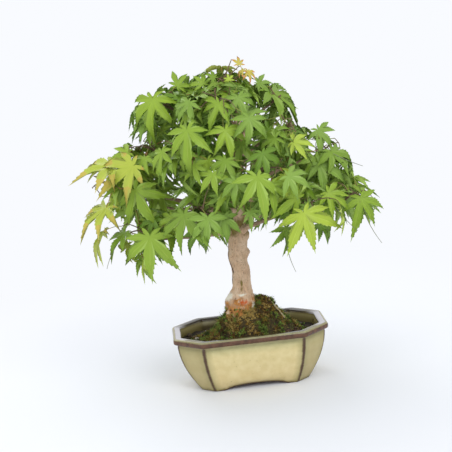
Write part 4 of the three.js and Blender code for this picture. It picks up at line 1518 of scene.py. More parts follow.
@dataclass(frozen=True)
class LeafPattern:
    """The outline of a maple leaf: seven lanceolate lobes with toothed edges and long drip tips.

    Sizes along and across a lobe are shares of its reach. toothed is where its teeth start and
    end, tooth how far they stand out, fold where its skin folds across and vein half the vein's
    width there. notch is how far out the notches lie, as a share of the shorter lobe beside each,
    heel the same for the two at the stalk, and thick the blade's thickness in millimetres.
    """

    # Each lobe's angle in degrees, its reach as a share of the leaf's length and its teeth.
    lobes: tuple[tuple[float, float, int], ...] = (
        *((-134, 0.36, 2), (-91, 0.68, 4), (-47, 0.93, 6), (0, 1.0, 6)),
        *((47, 0.93, 6), (91, 0.68, 4), (134, 0.36, 2)),
    )
    # Places along a lobe, and half the blade's width there.
    widths: tuple[Row, ...] = (
        *((0.26, 0.09), (0.38, 0.13), (0.5, 0.14), (0.63, 0.108)),
        *((0.76, 0.058), (0.88, 0.023), (1.0, 0.0)),
    )
    toothed: tuple[float, float] = (0.33, 0.9)
    tooth: float = 0.021
    fold: float = 0.55
    vein: float = 0.009
    notch: float = 0.31
    heel: float = 0.07
    thick: float = 0.4

    def rim(self, teeth: int) -> list[tuple[float, float]]:
        """One side of a lobe: each tooth's point and the cut after it.

        Args:
            teeth: how many there are.

        Returns:
            Shares along the lobe and offsets from its midrib, from the notch to the tip.
        """
        found = []
        for k in range(teeth):
            at = mix(*self.toothed, (k + 0.75) / teeth)
            wide, cut = np.interp((at, at + 0.02), *zip(*self.widths))
            found += [(at + 0.012, wide + self.tooth), (at + 0.02, cut - 0.004)]
        return found

    def template(self) -> tuple[Array, list[list[int]], list[int]]:
        """Lists one leaf's corners and faces.

        Each side of a lobe has an inner and an outer face on the upper skin and the same two on
        the lower one, which share the rim.

        Returns:
            A row for each corner (its lobe, its share along it, its offset from the midrib and its
            lift, which is 1 on the upper skin, -1 on the lower and 0 on the rim), the faces, and
            the part of the leaf that each is on. Lobe -1 - k stands for notch k.
        """
        rows: list[Row] = [(0, 0, 0, 1), (0, 0, 0, -1)]
        faces: list[list[int]] = []
        parts: list[int] = []

        def corner(*row: float) -> int:
            """Adds one corner and gives its number."""
            rows.append(row)
            return len(rows) - 1

        heart, below = 0, 1
        notches = [corner(-1 - k, 0, 0, 0) for k in range(len(self.lobes) + 1)]
        for j, (_, _, teeth) in enumerate(self.lobes):
            tip = corner(j, 1, 0, 0)
            ribs = [corner(j, self.fold, side * self.vein, 1) for side in (-1, 1)]
            under = corner(j, self.fold, 0, -1)
            faces += [[heart, *ribs], [ribs[0], tip, ribs[1]]]
            parts += [LeafFace.VEIN] * 2
            for number, side in enumerate((-1, 1)):
                rim = [corner(j, t, side * wide, 0) for t, wide in self.rim(teeth)]
                rim = [notches[j + number], *rim, tip]
                cut = 1 + 2 * ((teeth + 1) // 2)
                for rib, middle, top in ((ribs[number], heart, True), (under, below, False)):
                    skin = ([rib, *rim[:cut][::-1], middle], [rib, *rim[cut - 1 :][::-1]])
                    # Seen from above, the order runs anticlockwise on the left of the midrib only.
                    faces += [face if (side > 0) == top else [face[0], *face[:0:-1]] for face in skin]
                    parts += [LeafFace.TOP, LeafFace.TIP] if top else [LeafFace.UNDER] * 2
        return np.array(rows), faces, parts

    def shell(self, leaves: Sequence[Leaf], tones: Array, random: Chance) -> Shell:
        """Every leaf of a mass as one shell.

        In polar form about the heart, a corner of lobe j lies at reach_j times the length of
        (along, offset), turned by the lobe's angle plus the corner's own. It drops below the
        leaf's plane by droop times the square of its distance, and further near the tip, and it
        rises with its distance from the midrib, so each lobe is folded like a shallow trough. The
        blade's own weight pulls it straight down by sag times that square.

        Args:
            leaves: the leaves.
            tones: the number of each leaf's colour.
            random: gives each leaf its own small differences.

        Returns:
            The shell, with finish = 4 x tone + part.
        """
        rows, faces, parts = self.template()
        lobe, along, offset, lift = rows.T
        lobe_angles, lobe_reaches, _ = np.array(self.lobes).T
        count, lobes = len(leaves), len(self.lobes)
        angles = np.radians(lobe_angles + random.normal(0, 5, (count, lobes)))
        reaches = lobe_reaches * (1 + random.normal(0, 0.1, (count, lobes)))
        j = np.maximum(lobe, 0).astype(int)
        angle = angles[:, j] + np.arctan2(offset, np.maximum(along, 1e-9))
        radius = reaches[:, j] * np.hypot(along, offset)
        # A notch lies half way between two lobes, and one on each side of the stalk.
        ends = np.full((count, 1), math.radians(168))
        notch_angle = np.hstack([-ends, (angles[:, 1:] + angles[:, :-1]) / 2, ends])
        shorter = np.minimum(reaches[:, 1:], reaches[:, :-1]) * self.notch
        heel = np.full((count, 1), self.heel)
        at = lobe < 0
        which = (-1 - lobe[at]).astype(int)
        angle[:, at] = notch_angle[:, which]
        radius[:, at] = np.hstack([heel, shorter, heel])[:, which]
        droop = random.uniform(0.03, 0.28, (count, 1))
        sag = random.uniform(0.04, 0.22, (count, 1))
        curl = random.uniform(-0.3, 1.2, (count, lobes))[:, j]
        fold = random.uniform(0.4, 1.0, (count, 1))
        rise = fold * np.where(at, 0.1, np.abs(offset)) * reaches[:, j] - droop * radius**2
        rise -= np.where(at, 0, curl * np.maximum(0, along - 0.5) ** 2) * reaches[:, j]
        size, heart, normal, lie = columns(leaves, "size", "heart", "normal", "along")
        size = size[:, None]
        rise = rise * size + lift * self.thick / 2
        points = heart[:, None] + rise[..., None] * normal[:, None]
        for share, way in ((np.cos(angle), lie), (np.sin(angle), np.cross(normal, lie))):
            points += (size * radius * share)[..., None] * way[:, None]
        points[..., 2] -= sag * size * radius**2
        corners = (np.concatenate(faces)[None] + np.arange(count)[:, None] * len(rows)).ravel()
        finish = (4 * np.asarray(tones)[:, None] + np.array(parts)[None]).ravel()
        return Shell(points.reshape(-1, 3), corners, np.tile([len(f) for f in faces], count), finish)


@dataclass(frozen=True)
class Crown:
    """The boughs, twigs, stalks and leaves."""

    rule: GrowthRule
    pattern: LeafPattern = LeafPattern()
    bark: Bark = Bark("young_maple_bark", "5C4836", "94795C", "A08C72", grain=0.9, old=Trunk.bark)
    twig: Blade = Blade("twig_bark", "675540", 0.7)
    stalks: tuple[Blade, ...] = (
        Blade("leaf_stalk_red", "946A40", 0.6),
        Blade("leaf_stalk_green", "83883E", 0.6),
    )
    thread: Blade = Blade("dry_leaf_thread", "70755C", 0.8)
    bough_slimness: float = 0.74
    # Each tone's name, top, vein, underside and, where they differ from the top, lobe tips, from
    # the deepest green, which shaded inner leaves get as painted shade, to the newest leaves with a warm
    # tint.
    tones: tuple[tuple[str, ...], ...] = (
        *(("deep", "4E6D1D", "5A7828", "668435"), ("bottle", "5C7B23", "678430", "718F3C")),
        *(("grass", "6D892B", "799338", "809945"), ("cool", "739039", "7F9B46", "86A150")),
        *(("fresh", "7C9730", "899F3D", "8DA74B"), ("spring", "859F32", "91A940", "92AB4C")),
        ("lime", "9AAE3D", "A5B74A", "A3B453"),
        ("tinted", "A0AD40", "AAAE4C", "A6AF58", "AFA048"),
        ("copper", "B2A748", "B8944C", "B6A65C", "BC8448"),
    )
    tinted: int = 7
    copper: int = 8

    def tone(self, grown: Grown, leaf: Leaf, random: Chance) -> int:
        """Picks a leaf's colour by its spray, its place in the crown and a little chance.

        Leaves deep inside a mass get darker greens and those far out from the trunk lighter ones,
        which is painted shade and painted light; the left side and the apex are lighter and the back
        darker, and the tips of the lowest boughs have the newest.

        Args:
            grown: the leaf's mass.
            leaf: the leaf.
            random: the chance.

        Returns:
            The number of the tone.
        """
        if leaf.tone is not None:
            return leaf.tone
        mass = grown.mass
        outward = float(
            np.linalg.norm((leaf.heart - mass.centre()) / (mass.spread, mass.spread, mass.thick))
        )
        spray = SeededRandom(leaf.spray * 31 + int(mass.turn) * 7 + int(mass.z))()
        # Deeper green inside the mass and lighter far from the trunk: painted shade and painted light.
        value = 1.6 * outward + 2.4 * spray + random.normal(0, 0.8)
        value += 1.8 * float(smooth(70, 125, np.hypot(*leaf.heart[:2])))
        value += 1.3 * mass.name.startswith("left") + 0.5 * (mass.name == "apex")
        value -= 0.8 * mass.name.startswith("back")
        newest = mass.name in ("left_tip", "left_low", "upper_left", "apex") and outward > 0.9
        if newest and random.uniform() < 0.3:
            return self.tinted
        return int(np.clip(round(value), 0, self.tinted - 1))

    def leaf_materials(self) -> list[Material]:
        """Makes the four parts of every tone.

        Returns:
            The materials, in the order of the shells' finish numbers.
        """
        parts = (("upper_skin", 0.46), ("vein", 0.5), ("underside", 0.62), ("tip", 0.46))
        return [
            Blade(f"leaf_{name}_{part}", colour, roughness).build()
            for name, *colours in self.tones
            for colour, (part, roughness) in zip((*colours, colours[0]), parts)
        ]

    def build_boughs(self) -> None:
        """Makes each bough with its bark in relief.

        The path is the solids' own. The girth narrows evenly from root to tip, swells into a
        collar at the trunk, and carries lumps, furrows and a ring every centimetre or so.
        """
        bark, steps, sides = self.bark.build(), 64, 18
        for index, mass in enumerate(CROWN):
            if mass.leaves is None:
                continue
            limb = self.rule.bough(mass, steps)
            way = np.linalg.norm(limb.points - limb.points[0], axis=1)
            out = np.maximum(way - float(self.rule.trunk.at(mass.leaves)[2]), 0)
            girths = limb.girths * self.bough_slimness * (1 + 0.75 * np.exp(-((out / 6) ** 2)))
            rings = tube_rings(limb.points[None], girths[None], sides)[0]
            relief = 0.16 * layered_noise(rings, 4.5, 31) - 0.14 * np.abs(layered_noise(rings, 1.6, 35, 2))
            relief += 0.1 * np.cos(way * 0.62 + index)[:, None] ** 8
            rings = tube_rings(limb.points[None], (girths[:, None] * (1 + relief))[None], sides)
            age = np.repeat(np.exp(-((out / 16) ** 2))[:, None], sides, 1)
            replaced = [f"bough_{mass.name}"]
            lofts(rings, age=age).piece(f"{mass.name}_bough_bark", [bark], "bark_bough", replaced, 180)

    def twig_shell(self, grown: Grown) -> Shell:
        """Makes the stem, twigs and fine twigs of one mass, on smooth curves with a knot at each joint.

        Args:
            grown: the mass.

        Returns:
            All of them as one shell.
        """
        stem = bezier(grown.controls, 12)[None]
        stacks = [tube_rings(stem, np.linspace(1.2, 0.75, 13)[None], 8)]
        steps = np.linspace(0, 1, 10)
        for twigs, girths, sides in (
            (grown.twigs, (0.75, 0.55, 0.38), 6),
            (grown.fine, (0.45, 0.38, 0.3), 5),
        ):
            twigs = [twig for twig in twigs if twig.used]
            if not twigs:
                continue
            used = np.array([twig.used for twig in twigs])
            paths = parabola(np.array([twig.ends for twig in twigs]), steps[None] * used[:, None])
            knots = 1 + 0.14 * np.exp(-(((steps[:, None] - np.array(self.rule.joints)) / 0.035) ** 2)).sum(1)
            girth = np.interp(steps, (0, 0.5, 1), girths) * knots
            stacks.append(tube_rings(paths, np.tile(girth, (len(twigs), 1)), sides))
        return lofts(*stacks)

    @staticmethod
    def stalk_shell(grown: Grown, random: Chance) -> Shell:
        """Makes the stalks: each leaves its twig, sags a little and meets the heart from below.

        Args:
            grown: the mass.
            random: gives each stalk a sway of its own.

        Returns:
            The stalks as one shell.
        """
        roots, hearts, normals, lies = columns(grown.leaves, "root", "heart", "normal", "along")
        length = np.linalg.norm(hearts - roots, axis=1, keepdims=True)
        middle = (roots + hearts) / 2 - normals * length * 0.06 - lies * length * 0.05
        middle += random.normal(0, 0.04, middle.shape) * length
        paths = parabola(np.stack([roots, middle, hearts - normals * 0.15], 1), np.linspace(0, 1, 6))
        girths = np.tile(vector(0.42, 0.32, 0.28, 0.27, 0.27, 0.36), (len(roots), 1))
        return lofts(tube_rings(paths, girths, 4))

    def build(self) -> None:
        """Makes the boughs, then grows each mass and makes its leaves, twigs and stalks."""
        self.build_boughs()
        masses = self.rule.grow()
        leaf_materials, twig = self.leaf_materials(), self.twig.build()
        stalk_materials = [stalk.build() for stalk in self.stalks]
        for number, grown in enumerate(masses):
            name, random = grown.mass.name, np.random.default_rng(400 + number)
            replaced = [f"foliage_{name}"]
            tones = np.array([self.tone(grown, leaf, random) for leaf in grown.leaves])
            # The first leaf of the topmost mass is its leading shoot's new one.
            if name == "apex":
                tones[0] = self.copper
            slot = "leaves_new" if name.startswith("left") else "leaves"
            shell = self.pattern.shell(grown.leaves, tones, random)
            shell.piece(f"{name}_leaves", leaf_materials, slot, replaced, 50)
            self.twig_shell(grown).piece(f"{name}_twigs", [twig], "bark_bough", replaced)
            stalks = self.stalk_shell(grown, random)
            stalks.finish = np.repeat(tones % 3 != 1, len(stalks.sizes) // len(tones)).astype(int)
            stalks.piece(f"{name}_stalks", stalk_materials, "bark_bough", replaced)
        threads = np.array([thread for grown in masses for thread in grown.threads])
        paths = parabola(threads, np.linspace(0, 1, 12))
        rings = tube_rings(paths, np.tile(np.linspace(0.5, 0.2, 12), (len(threads), 1)), 4)
        lofts(rings).piece("dry_leaf_threads", [self.thread.build()], "bark_bough")
        LOG.info("%d leaves", sum(len(grown.leaves) for grown in masses))


# The pot, the soil and the moss


@dataclass(frozen=True)
class Pot:
    """The glazed pot. A plan is a rectangle's length and width and its corners' cuts in X and Y."""

    glaze: Celadon = Celadon("celadon_glaze_over_iron_stoneware")
    base: Row = (105, 65, 12.5, 11)
    shoulder: Row = (143, 85, 23.5, 21)
    rim: Row = (150, 92, 25, 23)
    shoulder_height: float = 46.5
    flare: float = 1.9
    wall: float = 6
    floor: float = 5
    arch_length: float = 58
    arch_rise: float = 4
    # The section of the foot, the wall's top and the lip: how far each row stands in from its
    # plan, its height and the rounding of its corners.
    foot: tuple[Row, ...] = ((26, 0.6, 1.0), (9.5, 0.6, 1.0), (9, 0.0, 1.0), (0.5, 0.0, 1.4))
    wall_top: tuple[Row, ...] = ((0.3, 45.6, 2.2), (0.5, 46.4, 2.2))
    lip: tuple[Row, ...] = (
        *((2.6, 46.9, 2.4), (1.2, 47.2, 2.6), (0.35, 47.9, 2.8), (0.0, 48.8, 3.0), (0.0, 50.2, 3.0)),
        *((0.1, 51.4, 3.0), (0.5, 52.2, 3.0), (1.2, 52.8, 3.0), (2.2, 53.0, 2.8), (4.2, 52.9, 2.6)),
        *((6.2, 52.9, 2.4), (7.2, 52.6, 2.2), (7.8, 51.9, 2.0), (8.0, 51.0, 2.0)),
    )
    # How many points each side of a ring has between its corners.
    parts: tuple[int, ...] = (14, 10, 34, 10) * 2

    def body(self, z: Array) -> Array:
        """The plans at heights on the body, which swells quickly above the foot."""
        t = 1 - (1 - np.asarray(z, float) / self.shoulder_height) ** self.flare
        return mix(vector(*self.base), vector(*self.shoulder), t[..., None])

    @staticmethod
    def inset(plan: Array | Row, by: Array | float) -> Array:
        """A plan drawn in square to every side."""
        keep = 1 - math.sqrt(0.5)
        return plan - np.asarray(by, float)[..., None] * vector(2, 2, keep, keep)

    @staticmethod
    def corners(plans: Array) -> Array:
        """The eight corners of each plan.

        Args:
            plans: shape (rows, 4).

        Returns:
            X and Y, anticlockwise from the right side's near end, shape (rows, 8, 2).
        """
        x, y, cx, cy = plans[..., 0] / 2, plans[..., 1] / 2, plans[..., 2], plans[..., 3]
        half = [(x, -y + cy), (x, y - cy), (x - cx, y), (-x + cx, y)]
        points = [*half, *((-a, -b) for a, b in half)]
        return np.stack([np.stack(p, -1) for p in points], -2)

    def outline(self, plans: Array, rounding: Array) -> Array:
        """Points round each plan with its corners rounded.

        A corner is a quadratic curve from a little before it to a little after, and a side runs
        straight between, with its points closer together near the corners.

        Args:
            plans: shape (rows, 4).
            rounding: how far the curve reaches along each side, shape (rows,).

        Returns:
            Points in X and Y, shape (rows, points, 2).
        """
        corner = self.corners(plans)
        along = unit(np.roll(corner, -1, axis=1) - corner)
        before = np.roll(along, 1, axis=1)
        r = rounding[:, None, None]
        start, end = corner - before * r, corner + along * r
        t = np.linspace(0, 1, 7)[:, None]
        weights = ((1 - t) ** 2, 2 * t * (1 - t), t * t)
        arcs = sum(place[:, :, None] * weight for place, weight in zip((start, corner, end), weights))
        next_start = np.roll(start, -1, axis=1)
        rows = []
        for side, count in enumerate(self.parts):
            share = np.linspace(0, 1, count + 2)[1:-1, None]
            share = mix(share, (1 - np.cos(math.pi * share)) / 2, 0.7)
            rows += [arcs[:, side], mix(end[:, side][:, None], next_start[:, side][:, None], share)]
        return np.concatenate(rows, axis=1)

    def profile(self) -> list[Array]:
        """The pot's section, from the middle of its underside round to the inside of its floor.

        Returns:
            The plan, the height and the rounding of the corners of each row.
        """
        up = np.concatenate([[0.35], np.linspace(1.2, 44.5, 34)])
        down = np.linspace(47, self.floor, 12)
        inner = self.inset(self.body(np.minimum(down, 46.4)), self.wall - 0.4 * smooth(40, 47, down))
        foot, wall_top, lip = (
            (self.inset(plan, table[:, 0]), table[:, 1], table[:, 2])
            for plan, table in (
                (self.base, np.array(self.foot)),
                (self.shoulder, np.array(self.wall_top)),
                (self.rim, np.array(self.lip)),
            )
        )
        body = (self.body(up), up, np.full(len(up), 1.8))
        inside = (inner, down, np.full(len(down), 1.8))
        middle = (self.inset(inner[-1:], [18.0]), [self.floor], [0.8])
        return [np.concatenate(kind) for kind in zip(foot, body, wall_top, lip, inside, middle)]

    def build(self) -> None:
        """Makes the pot as one closed skin.

        The outline of each row of the profile is one ring. The foot's rings rise into a half
        ellipse under the middle of both long sides, by rise times the root of one less the
        square of x over the half length, and the rise fades out up the wall.
        """
        plans, z, rounding = self.profile()
        flat = self.outline(plans, rounding)
        arch = self.arch_rise * np.sqrt(np.maximum(0, 1 - (2 * flat[..., 0] / self.arch_length) ** 2))
        arch *= np.abs(flat[..., 1]) > plans[:, None, 1] / 2 - plans[:, None, 3] * 0.5
        rows = np.arange(len(z))[:, None]
        outside = (rows >= 2) * (1 - smooth(0.0, 9.0, z[:, None])) * (rows < 40)
        height = z[:, None] + arch * outside
        points = np.dstack([flat, height])
        # A faint sag and swell of the hand-pressed walls.
        normal = unit(np.dstack([flat, np.zeros_like(height)]))
        swell = 0.18 * layered_noise(points, 22, 61, 2)
        points = points + normal * swell[..., None] * (rows > 3)[..., None]
        # The way up the profile is the height on the body, and the length of the section beyond.
        step = np.linalg.norm(np.diff(np.stack([plans[:, 1] / 2, z], -1), axis=0), axis=1)
        first = int(np.argmax(z > self.shoulder_height - 1))
        way = np.concatenate([z[: first + 1], z[first] + np.cumsum(step[first:])])
        x, y = flat[..., 0] / plans[:, None, 0] * 2, flat[..., 1] / plans[:, None, 1] * 2
        values = {
            "profile": np.broadcast_to(way[:, None], height.shape),
            "ridge": np.linalg.norm(flat[:, :, None] - self.corners(plans)[:, None], axis=-1).min(-1),
            # Where the rim's top gets its painted sky reflection.
            "ends": smooth(0.86, 0.95, np.abs(x)) * (1 - smooth(0.4, 0.8, y)),
            # Where the rim's top gets painted shade.
            "back": smooth(0.3, 0.8, y),
            # Where the cut corners get painted shade.
            "panel": smooth(0.66, 0.72, np.abs(x)),
        }
        shell = lofts(points[None], **values)
        shell.piece("glazed_pot", [self.glaze.build()], "glazed_pot", ["pot"], crease=55)


@dataclass(frozen=True)
class Soil:
    """The soil bed, its grit and the low patches of moss on it."""

    pot: Pot
    earth: Earth = Earth("dark_potting_soil", "1E1712", "3A2C20", "6B5A44")
    # The stones' finishes, and how common each is.
    grit: tuple[Earth, ...] = (
        Earth("baked_clay_grit", "3A2A20", "5A4232", "7A6048", 1.2),
        Earth("black_lava_grit", "17130F", "2C241C", "4A3E30", 1.2),
        Earth("humus_grit", "2B2015", "46341F", "6A5230", 1.2),
        Earth("pale_pumice_grit", "9A9186", "BDB5A8", "D8D2C8", 1.2),
    )
    common: Row = (0.42, 0.3, 0.18, 0.1)
    top: float = 44.7
    edge_top: float = 42.6
    gap: float = 6.3
    half_length: float = 61
    half_width: float = 33
    # Patches of moss on the soil: middle in X and Y, radius and height.
    patches: tuple[Row, ...] = (
        *((-40, -8, 12, 3.4), (-50, 6, 9, 2.4), (-30, 16, 11, 3.0), (44, 14, 13, 3.4)),
        *((52, -4, 9, 2.6), (30, -20, 9, 2.4), (-8, 24, 13, 3.0)),
    )
    wall_rings: int = 6
    top_rings: int = 34
    stones: int = 620
    # A stone's rings, each by how far up the ball it is in degrees, and the corners of a ring.
    tilts: Row = (-78, -30, 25, 75)
    corners: int = 7

    def surface(self, x: Array, y: Array) -> Array:
        """The soil's height: a flat dome in the pot, plus crumbs and lumps.

        Args:
            x: places along the pot.
            y: places across it.

        Returns:
            The heights.
        """
        place = np.stack([x, y, np.zeros_like(x)], -1)
        edge = np.maximum(np.abs(x) / 62, np.abs(y) / 34)
        dome = mix(self.top, self.edge_top, smooth(0.62, 1.0, edge))
        return dome + 0.9 * layered_noise(place, 7, 71) + 0.55 * np.abs(layered_noise(place, 2.2, 75, 2))

    def build(self) -> None:
        """Makes the bed as one closed skin, and the grit on it.

        Rings of the pot's inner plan go up the wall from the pot's floor and close in to the
        middle of the surface.
        """
        walls = np.linspace(self.pot.floor + 0.3, self.edge_top - 0.4, self.wall_rings)
        edge = self.pot.inset(self.pot.body(vector(self.edge_top)), self.gap)[0]
        inward = np.linspace(0, 1, self.top_rings)[:, None]
        plans = np.concatenate([self.pot.inset(self.pot.body(walls), self.gap), edge * (1 - inward * 0.995)])
        flat = self.pot.outline(plans, np.maximum(plans[:, 2] * 0.06, 0.01))
        height = np.repeat(np.concatenate([walls, np.zeros(self.top_rings)])[:, None], flat.shape[1], 1)
        x, y = np.moveaxis(flat[self.wall_rings :], -1, 0)
        height[self.wall_rings :] = self.surface(x, y)
        bed = lofts(np.dstack([flat, height])[None])
        bed.piece("soil_bed", [self.earth.build()], "potting_soil", ["soil"], crease=180)
        grit = [grit.build() for grit in self.grit]
        self.strew(np.random.default_rng(7)).piece("soil_grit", grit, "potting_soil", crease=50)

    def strew(self, random: Chance) -> Shell:
        """Strews stones on the bed, each a ball with its corners pushed in or out by chance.

        Args:
            random: the chance.

        Returns:
            All stones as one shell.
        """
        x = random.uniform(-60, 60, self.stones)
        y = random.uniform(-32, 32, self.stones)
        inside = np.abs(x) / self.half_length + np.abs(y) / self.half_width < 1.45
        x, y = x[inside], y[inside]
        sizes = random.gamma(3.0, 0.42, len(x)) * 0.8 + 0.35
        kind = random.choice(len(self.grit), len(x), p=self.common)
        centre = np.stack([x, y, self.surface(x, y) + 0.2 * sizes], -1)
        tilt, turn = np.radians(self.tilts)[:, None], turns(self.corners)
        up = np.repeat(np.sin(tilt), self.corners, 1)
        ball = np.stack([np.cos(tilt) * np.cos(turn), np.cos(tilt) * np.sin(turn), up], -1)
        stretch = random.uniform(0.6, 1.25, (len(x), 1, 1, 3)) * (1, 1, 0.8)
        push = random.uniform(0.8, 1.2, (len(x), *ball.shape[:2], 1))
        stones = lofts(centre[:, None, None] + sizes[:, None, None, None] * ball * stretch * push)
        sides = self.corners * (len(self.tilts) - 1)
        stones.finish = np.concatenate([np.repeat(kind, sides), kind, kind])
        return stones


@dataclass(frozen=True)
class Moss:
    """The mound of moss round the trunk's foot, and the moss on the soil and the bark.

    A tuft has a root, a normal, a length and a hue, which runs from -1, the deepest green, to 1,
    the driest straw.
    """

    soil: Soil
    trunk: Trunk
    bed: Earth = Earth("moss_bed", "241B0F", "4C3F1D", "7A6632")
    # The tufts' colours, from the deepest hue to the driest.
    shoots: tuple[tuple[str, str], ...] = (
        *(("deep", "36421A"), ("green", "566E2C"), ("dark", "3C3114"), ("bright", "7A9440")),
        *(("olive", "6E692A"), ("brown", "614420"), ("ochre", "92742F"), ("straw", "B39A5A")),
    )
    ground: float = 45.0
    half_length: float = 46
    half_width: float = 27
    edge: float = 1.6
    # Middle in X and Y, height and spread of each rounded lump.
    lumps: tuple[Row, ...] = ((16, 1, 33, 23), (-15, -2, 27, 15), (-1, -14, 25, 16), (4, 14, 22, 17))
    tufts: int = 2100
    foot_tufts: int = 420
    blades_each: int = 9
    clump: float = 1.5
    clump_spacing: float = 9.0

    def rise(self, x: Array, y: Array) -> Array:
        """The lumps' rounded maximum: the fourth root of the sum of their fourth powers."""
        bells = ((h * np.exp(-((x - lx) ** 2 + (y - ly) ** 2) / s**2)) ** 4 for lx, ly, h, s in self.lumps)
        return sum(bells) ** 0.25

    def place(self, share: Array, turn: Array) -> Array:
        """The mound's surface.

        Args:
            share: of the way out from its middle.
            turn: round it, in radians.

        Returns:
            The points.
        """
        ripple = 1 + 0.06 * np.sin(3 * turn + 1) + 0.04 * np.sin(7 * turn)
        x = self.half_length * ripple * share * np.cos(turn)
        y = self.half_width * ripple * share * np.sin(turn)
        z = self.ground + self.edge * smooth(1.0, 0.9, share) + self.rise(x, y) * (1 - share**4)
        clumps = np.abs(layered_noise(np.stack([x, y, z], -1), self.clump_spacing, 81, 2)) - 0.3
        return np.stack([x, y, z + 2 * self.clump * clumps * smooth(1, 0.9, share)], -1)

    def build(self) -> None:
        """Makes the mound as one closed skin, and the tufts on it, on the soil and up the trunk's foot."""
        out = np.concatenate([[1.0], np.linspace(1, 0.004, 48)])
        share, turn = np.meshgrid(out, turns(144), indexing="ij")
        rings = self.place(share, turn)
        rings[0, :, 2] = self.ground - 1.5
        rings[..., 2] += 0.4 * layered_noise(rings, 2, 85, 2) * smooth(1, 0.93, share)
        rings[-1] = mix(rings[-1].mean(0), rings[-1], 0.2)
        lofts(rings[None]).piece("moss_cushion", [self.bed.build()], "moss", ["moss_mound"], crease=180)
        random = np.random.default_rng(12)
        shoots = [Blade(f"moss_tuft_{name}", colour, 0.75).build() for name, colour in self.shoots]
        on_mound = zip(self.mound_roots(random), self.trunk_roots(random))
        for name, rows in (
            ("moss_shoots", [np.concatenate(pair) for pair in on_mound]),
            ("soil_moss_shoots", self.patch_roots(random)),
        ):
            root, normal, length, hue = rows
            middle = self.trunk.at(root[:, 2])
            clear = np.hypot(*(root[:, :2] - middle[:, :2]).T) > middle[:, 2] * 0.85
            kind = np.clip(np.floor((hue + 1) / 2 * len(shoots)), 0, len(shoots) - 1).astype(int)
            kept = (np.repeat(values[clear], self.blades_each, 0) for values in (root, normal, length, kind))
            self.blades(*kept, random).piece(name, shoots, "moss", crease=180)
        self.bare_root()

    def bare_root(self) -> None:
        """A pale root that lies on the right of the mound and forks at its end."""
        share, turn = np.array([(0.46, -0.1), (0.62, -0.22), (0.8, -0.2)]).T
        above = UP * vector(1.2, 2.6, 0.6)[:, None]
        forks = np.array([self.place(share, turn + bend * (share - 0.46)) + above for bend in (0.0, 0.22)])
        paths = parabola(forks, np.linspace(0, 1, 14))
        girths = np.array([[1.0], [0.7]]) * np.linspace(0.9, 0.35, 14)
        finish = Earth("bare_pale_root", "A8916A", "D8C9A2", "F0E8D0").build()
        lofts(tube_rings(paths, girths, 7)).piece("bare_root", [finish], "moss")

    def mound_roots(self, random: Chance) -> tuple[Array, ...]:
        """The tufts on the mound: dry in front of the trunk, sparse and low on the right's bare soil.

        Args:
            random: the chance.

        Returns:
            Their roots, normals, lengths and hues.
        """
        share = np.sqrt(random.uniform(0.002, 1.02, self.tufts))
        turn = random.uniform(0, 2 * math.pi, self.tufts)
        root = self.place(np.minimum(share, 1), turn)
        x, y, z = root.T
        dx, dy = (
            (self.rise(x + sx, y + sy) - self.rise(x - sx, y - sy)) / 1.2 for sx, sy in ((0.6, 0), (0, 0.6))
        )
        normal = unit(np.stack([-dx, -dy, np.ones_like(dx)], -1))
        length = random.uniform(1.4, 2.9, self.tufts) * (1 + 0.5 * lattice_noise(root, 8, 91))
        length *= np.where(random.uniform(0, 1, self.tufts) < 0.08, 1.9, 1)
        bare = smooth(8, 24, x) * smooth(2, -8, y) * smooth(66, 58, z)
        length = np.where(lattice_noise(root, 6, 93) < mix(-1, 0.05, bare), 0.35, length)
        dry = np.exp(-(((x + 2) / 9) ** 2) - ((y + 16) / 12) ** 2)
        hue = 0.1 + layered_noise(root, 8, 95, 2) * 0.8 + random.normal(0, 0.28, self.tufts) + 0.9 * dry
        return root, normal, length, hue

    def patch_roots(self, random: Chance) -> tuple[Array, ...]:
        """The tufts of the low cushions on the soil.

        Args:
            random: the chance.

        Returns:
            Their roots, normals, lengths and hues.
        """
        soil, roots, lengths = self.soil, [], []
        for x, y, radius, height in soil.patches:
            count = int(radius * radius * 0.8)
            out = np.sqrt(random.uniform(0, 1, count)) * radius
            turn = random.uniform(0, 2 * math.pi, count)
            px, py = x + out * np.cos(turn), y + out * 0.8 * np.sin(turn)
            across, deep = np.abs(px) / soil.half_length, np.abs(py) / soil.half_width
            inside = (across + deep < 1.4) & (deep < 1) & (across < 1)
            px, py, out = px[inside], py[inside], out[inside]
            bulge = (out / radius) ** 2
            roots.append(np.stack([px, py, soil.surface(px, py) + height * 0.4 * (1 - bulge)], -1))
            lengths.append(random.uniform(0.5, 1.0, len(px)) * height * (1 - 0.5 * bulge))
        root = np.concatenate(roots)
        hue = layered_noise(root, 10, 97, 2) * 0.7 + random.normal(-0.15, 0.3, len(root))
        return root, np.tile(UP, (len(root), 1)), np.concatenate(lengths), hue

    def trunk_roots(self, random: Chance) -> tuple[Array, ...]:
        """The tufts of the fuzz that climbs the trunk's foot, thinning out upwards.

        Args:
            random: the chance.

        Returns:
            Their roots, normals, lengths and hues.
        """
        count = self.foot_tufts
        z = 47 + 26 * random.uniform(0, 1, count) ** 1.6
        turn = math.radians(-95) + random.normal(0, 0.85, count)
        x, y, girth = self.trunk.at(z).T
        reach = self.trunk.reach(z, turn, girth)
        outward = np.stack([np.cos(turn), np.sin(turn), np.full(count, 0.5)], -1)
        root = np.stack([x + reach * np.cos(turn), y + reach * np.sin(turn), z], -1)
        hue = 0.45 + 0.8 * lattice_noise(root, 7, 99) + random.normal(0, 0.3, count)
        return root, unit(outward), random.uniform(1.1, 2.6, count), hue

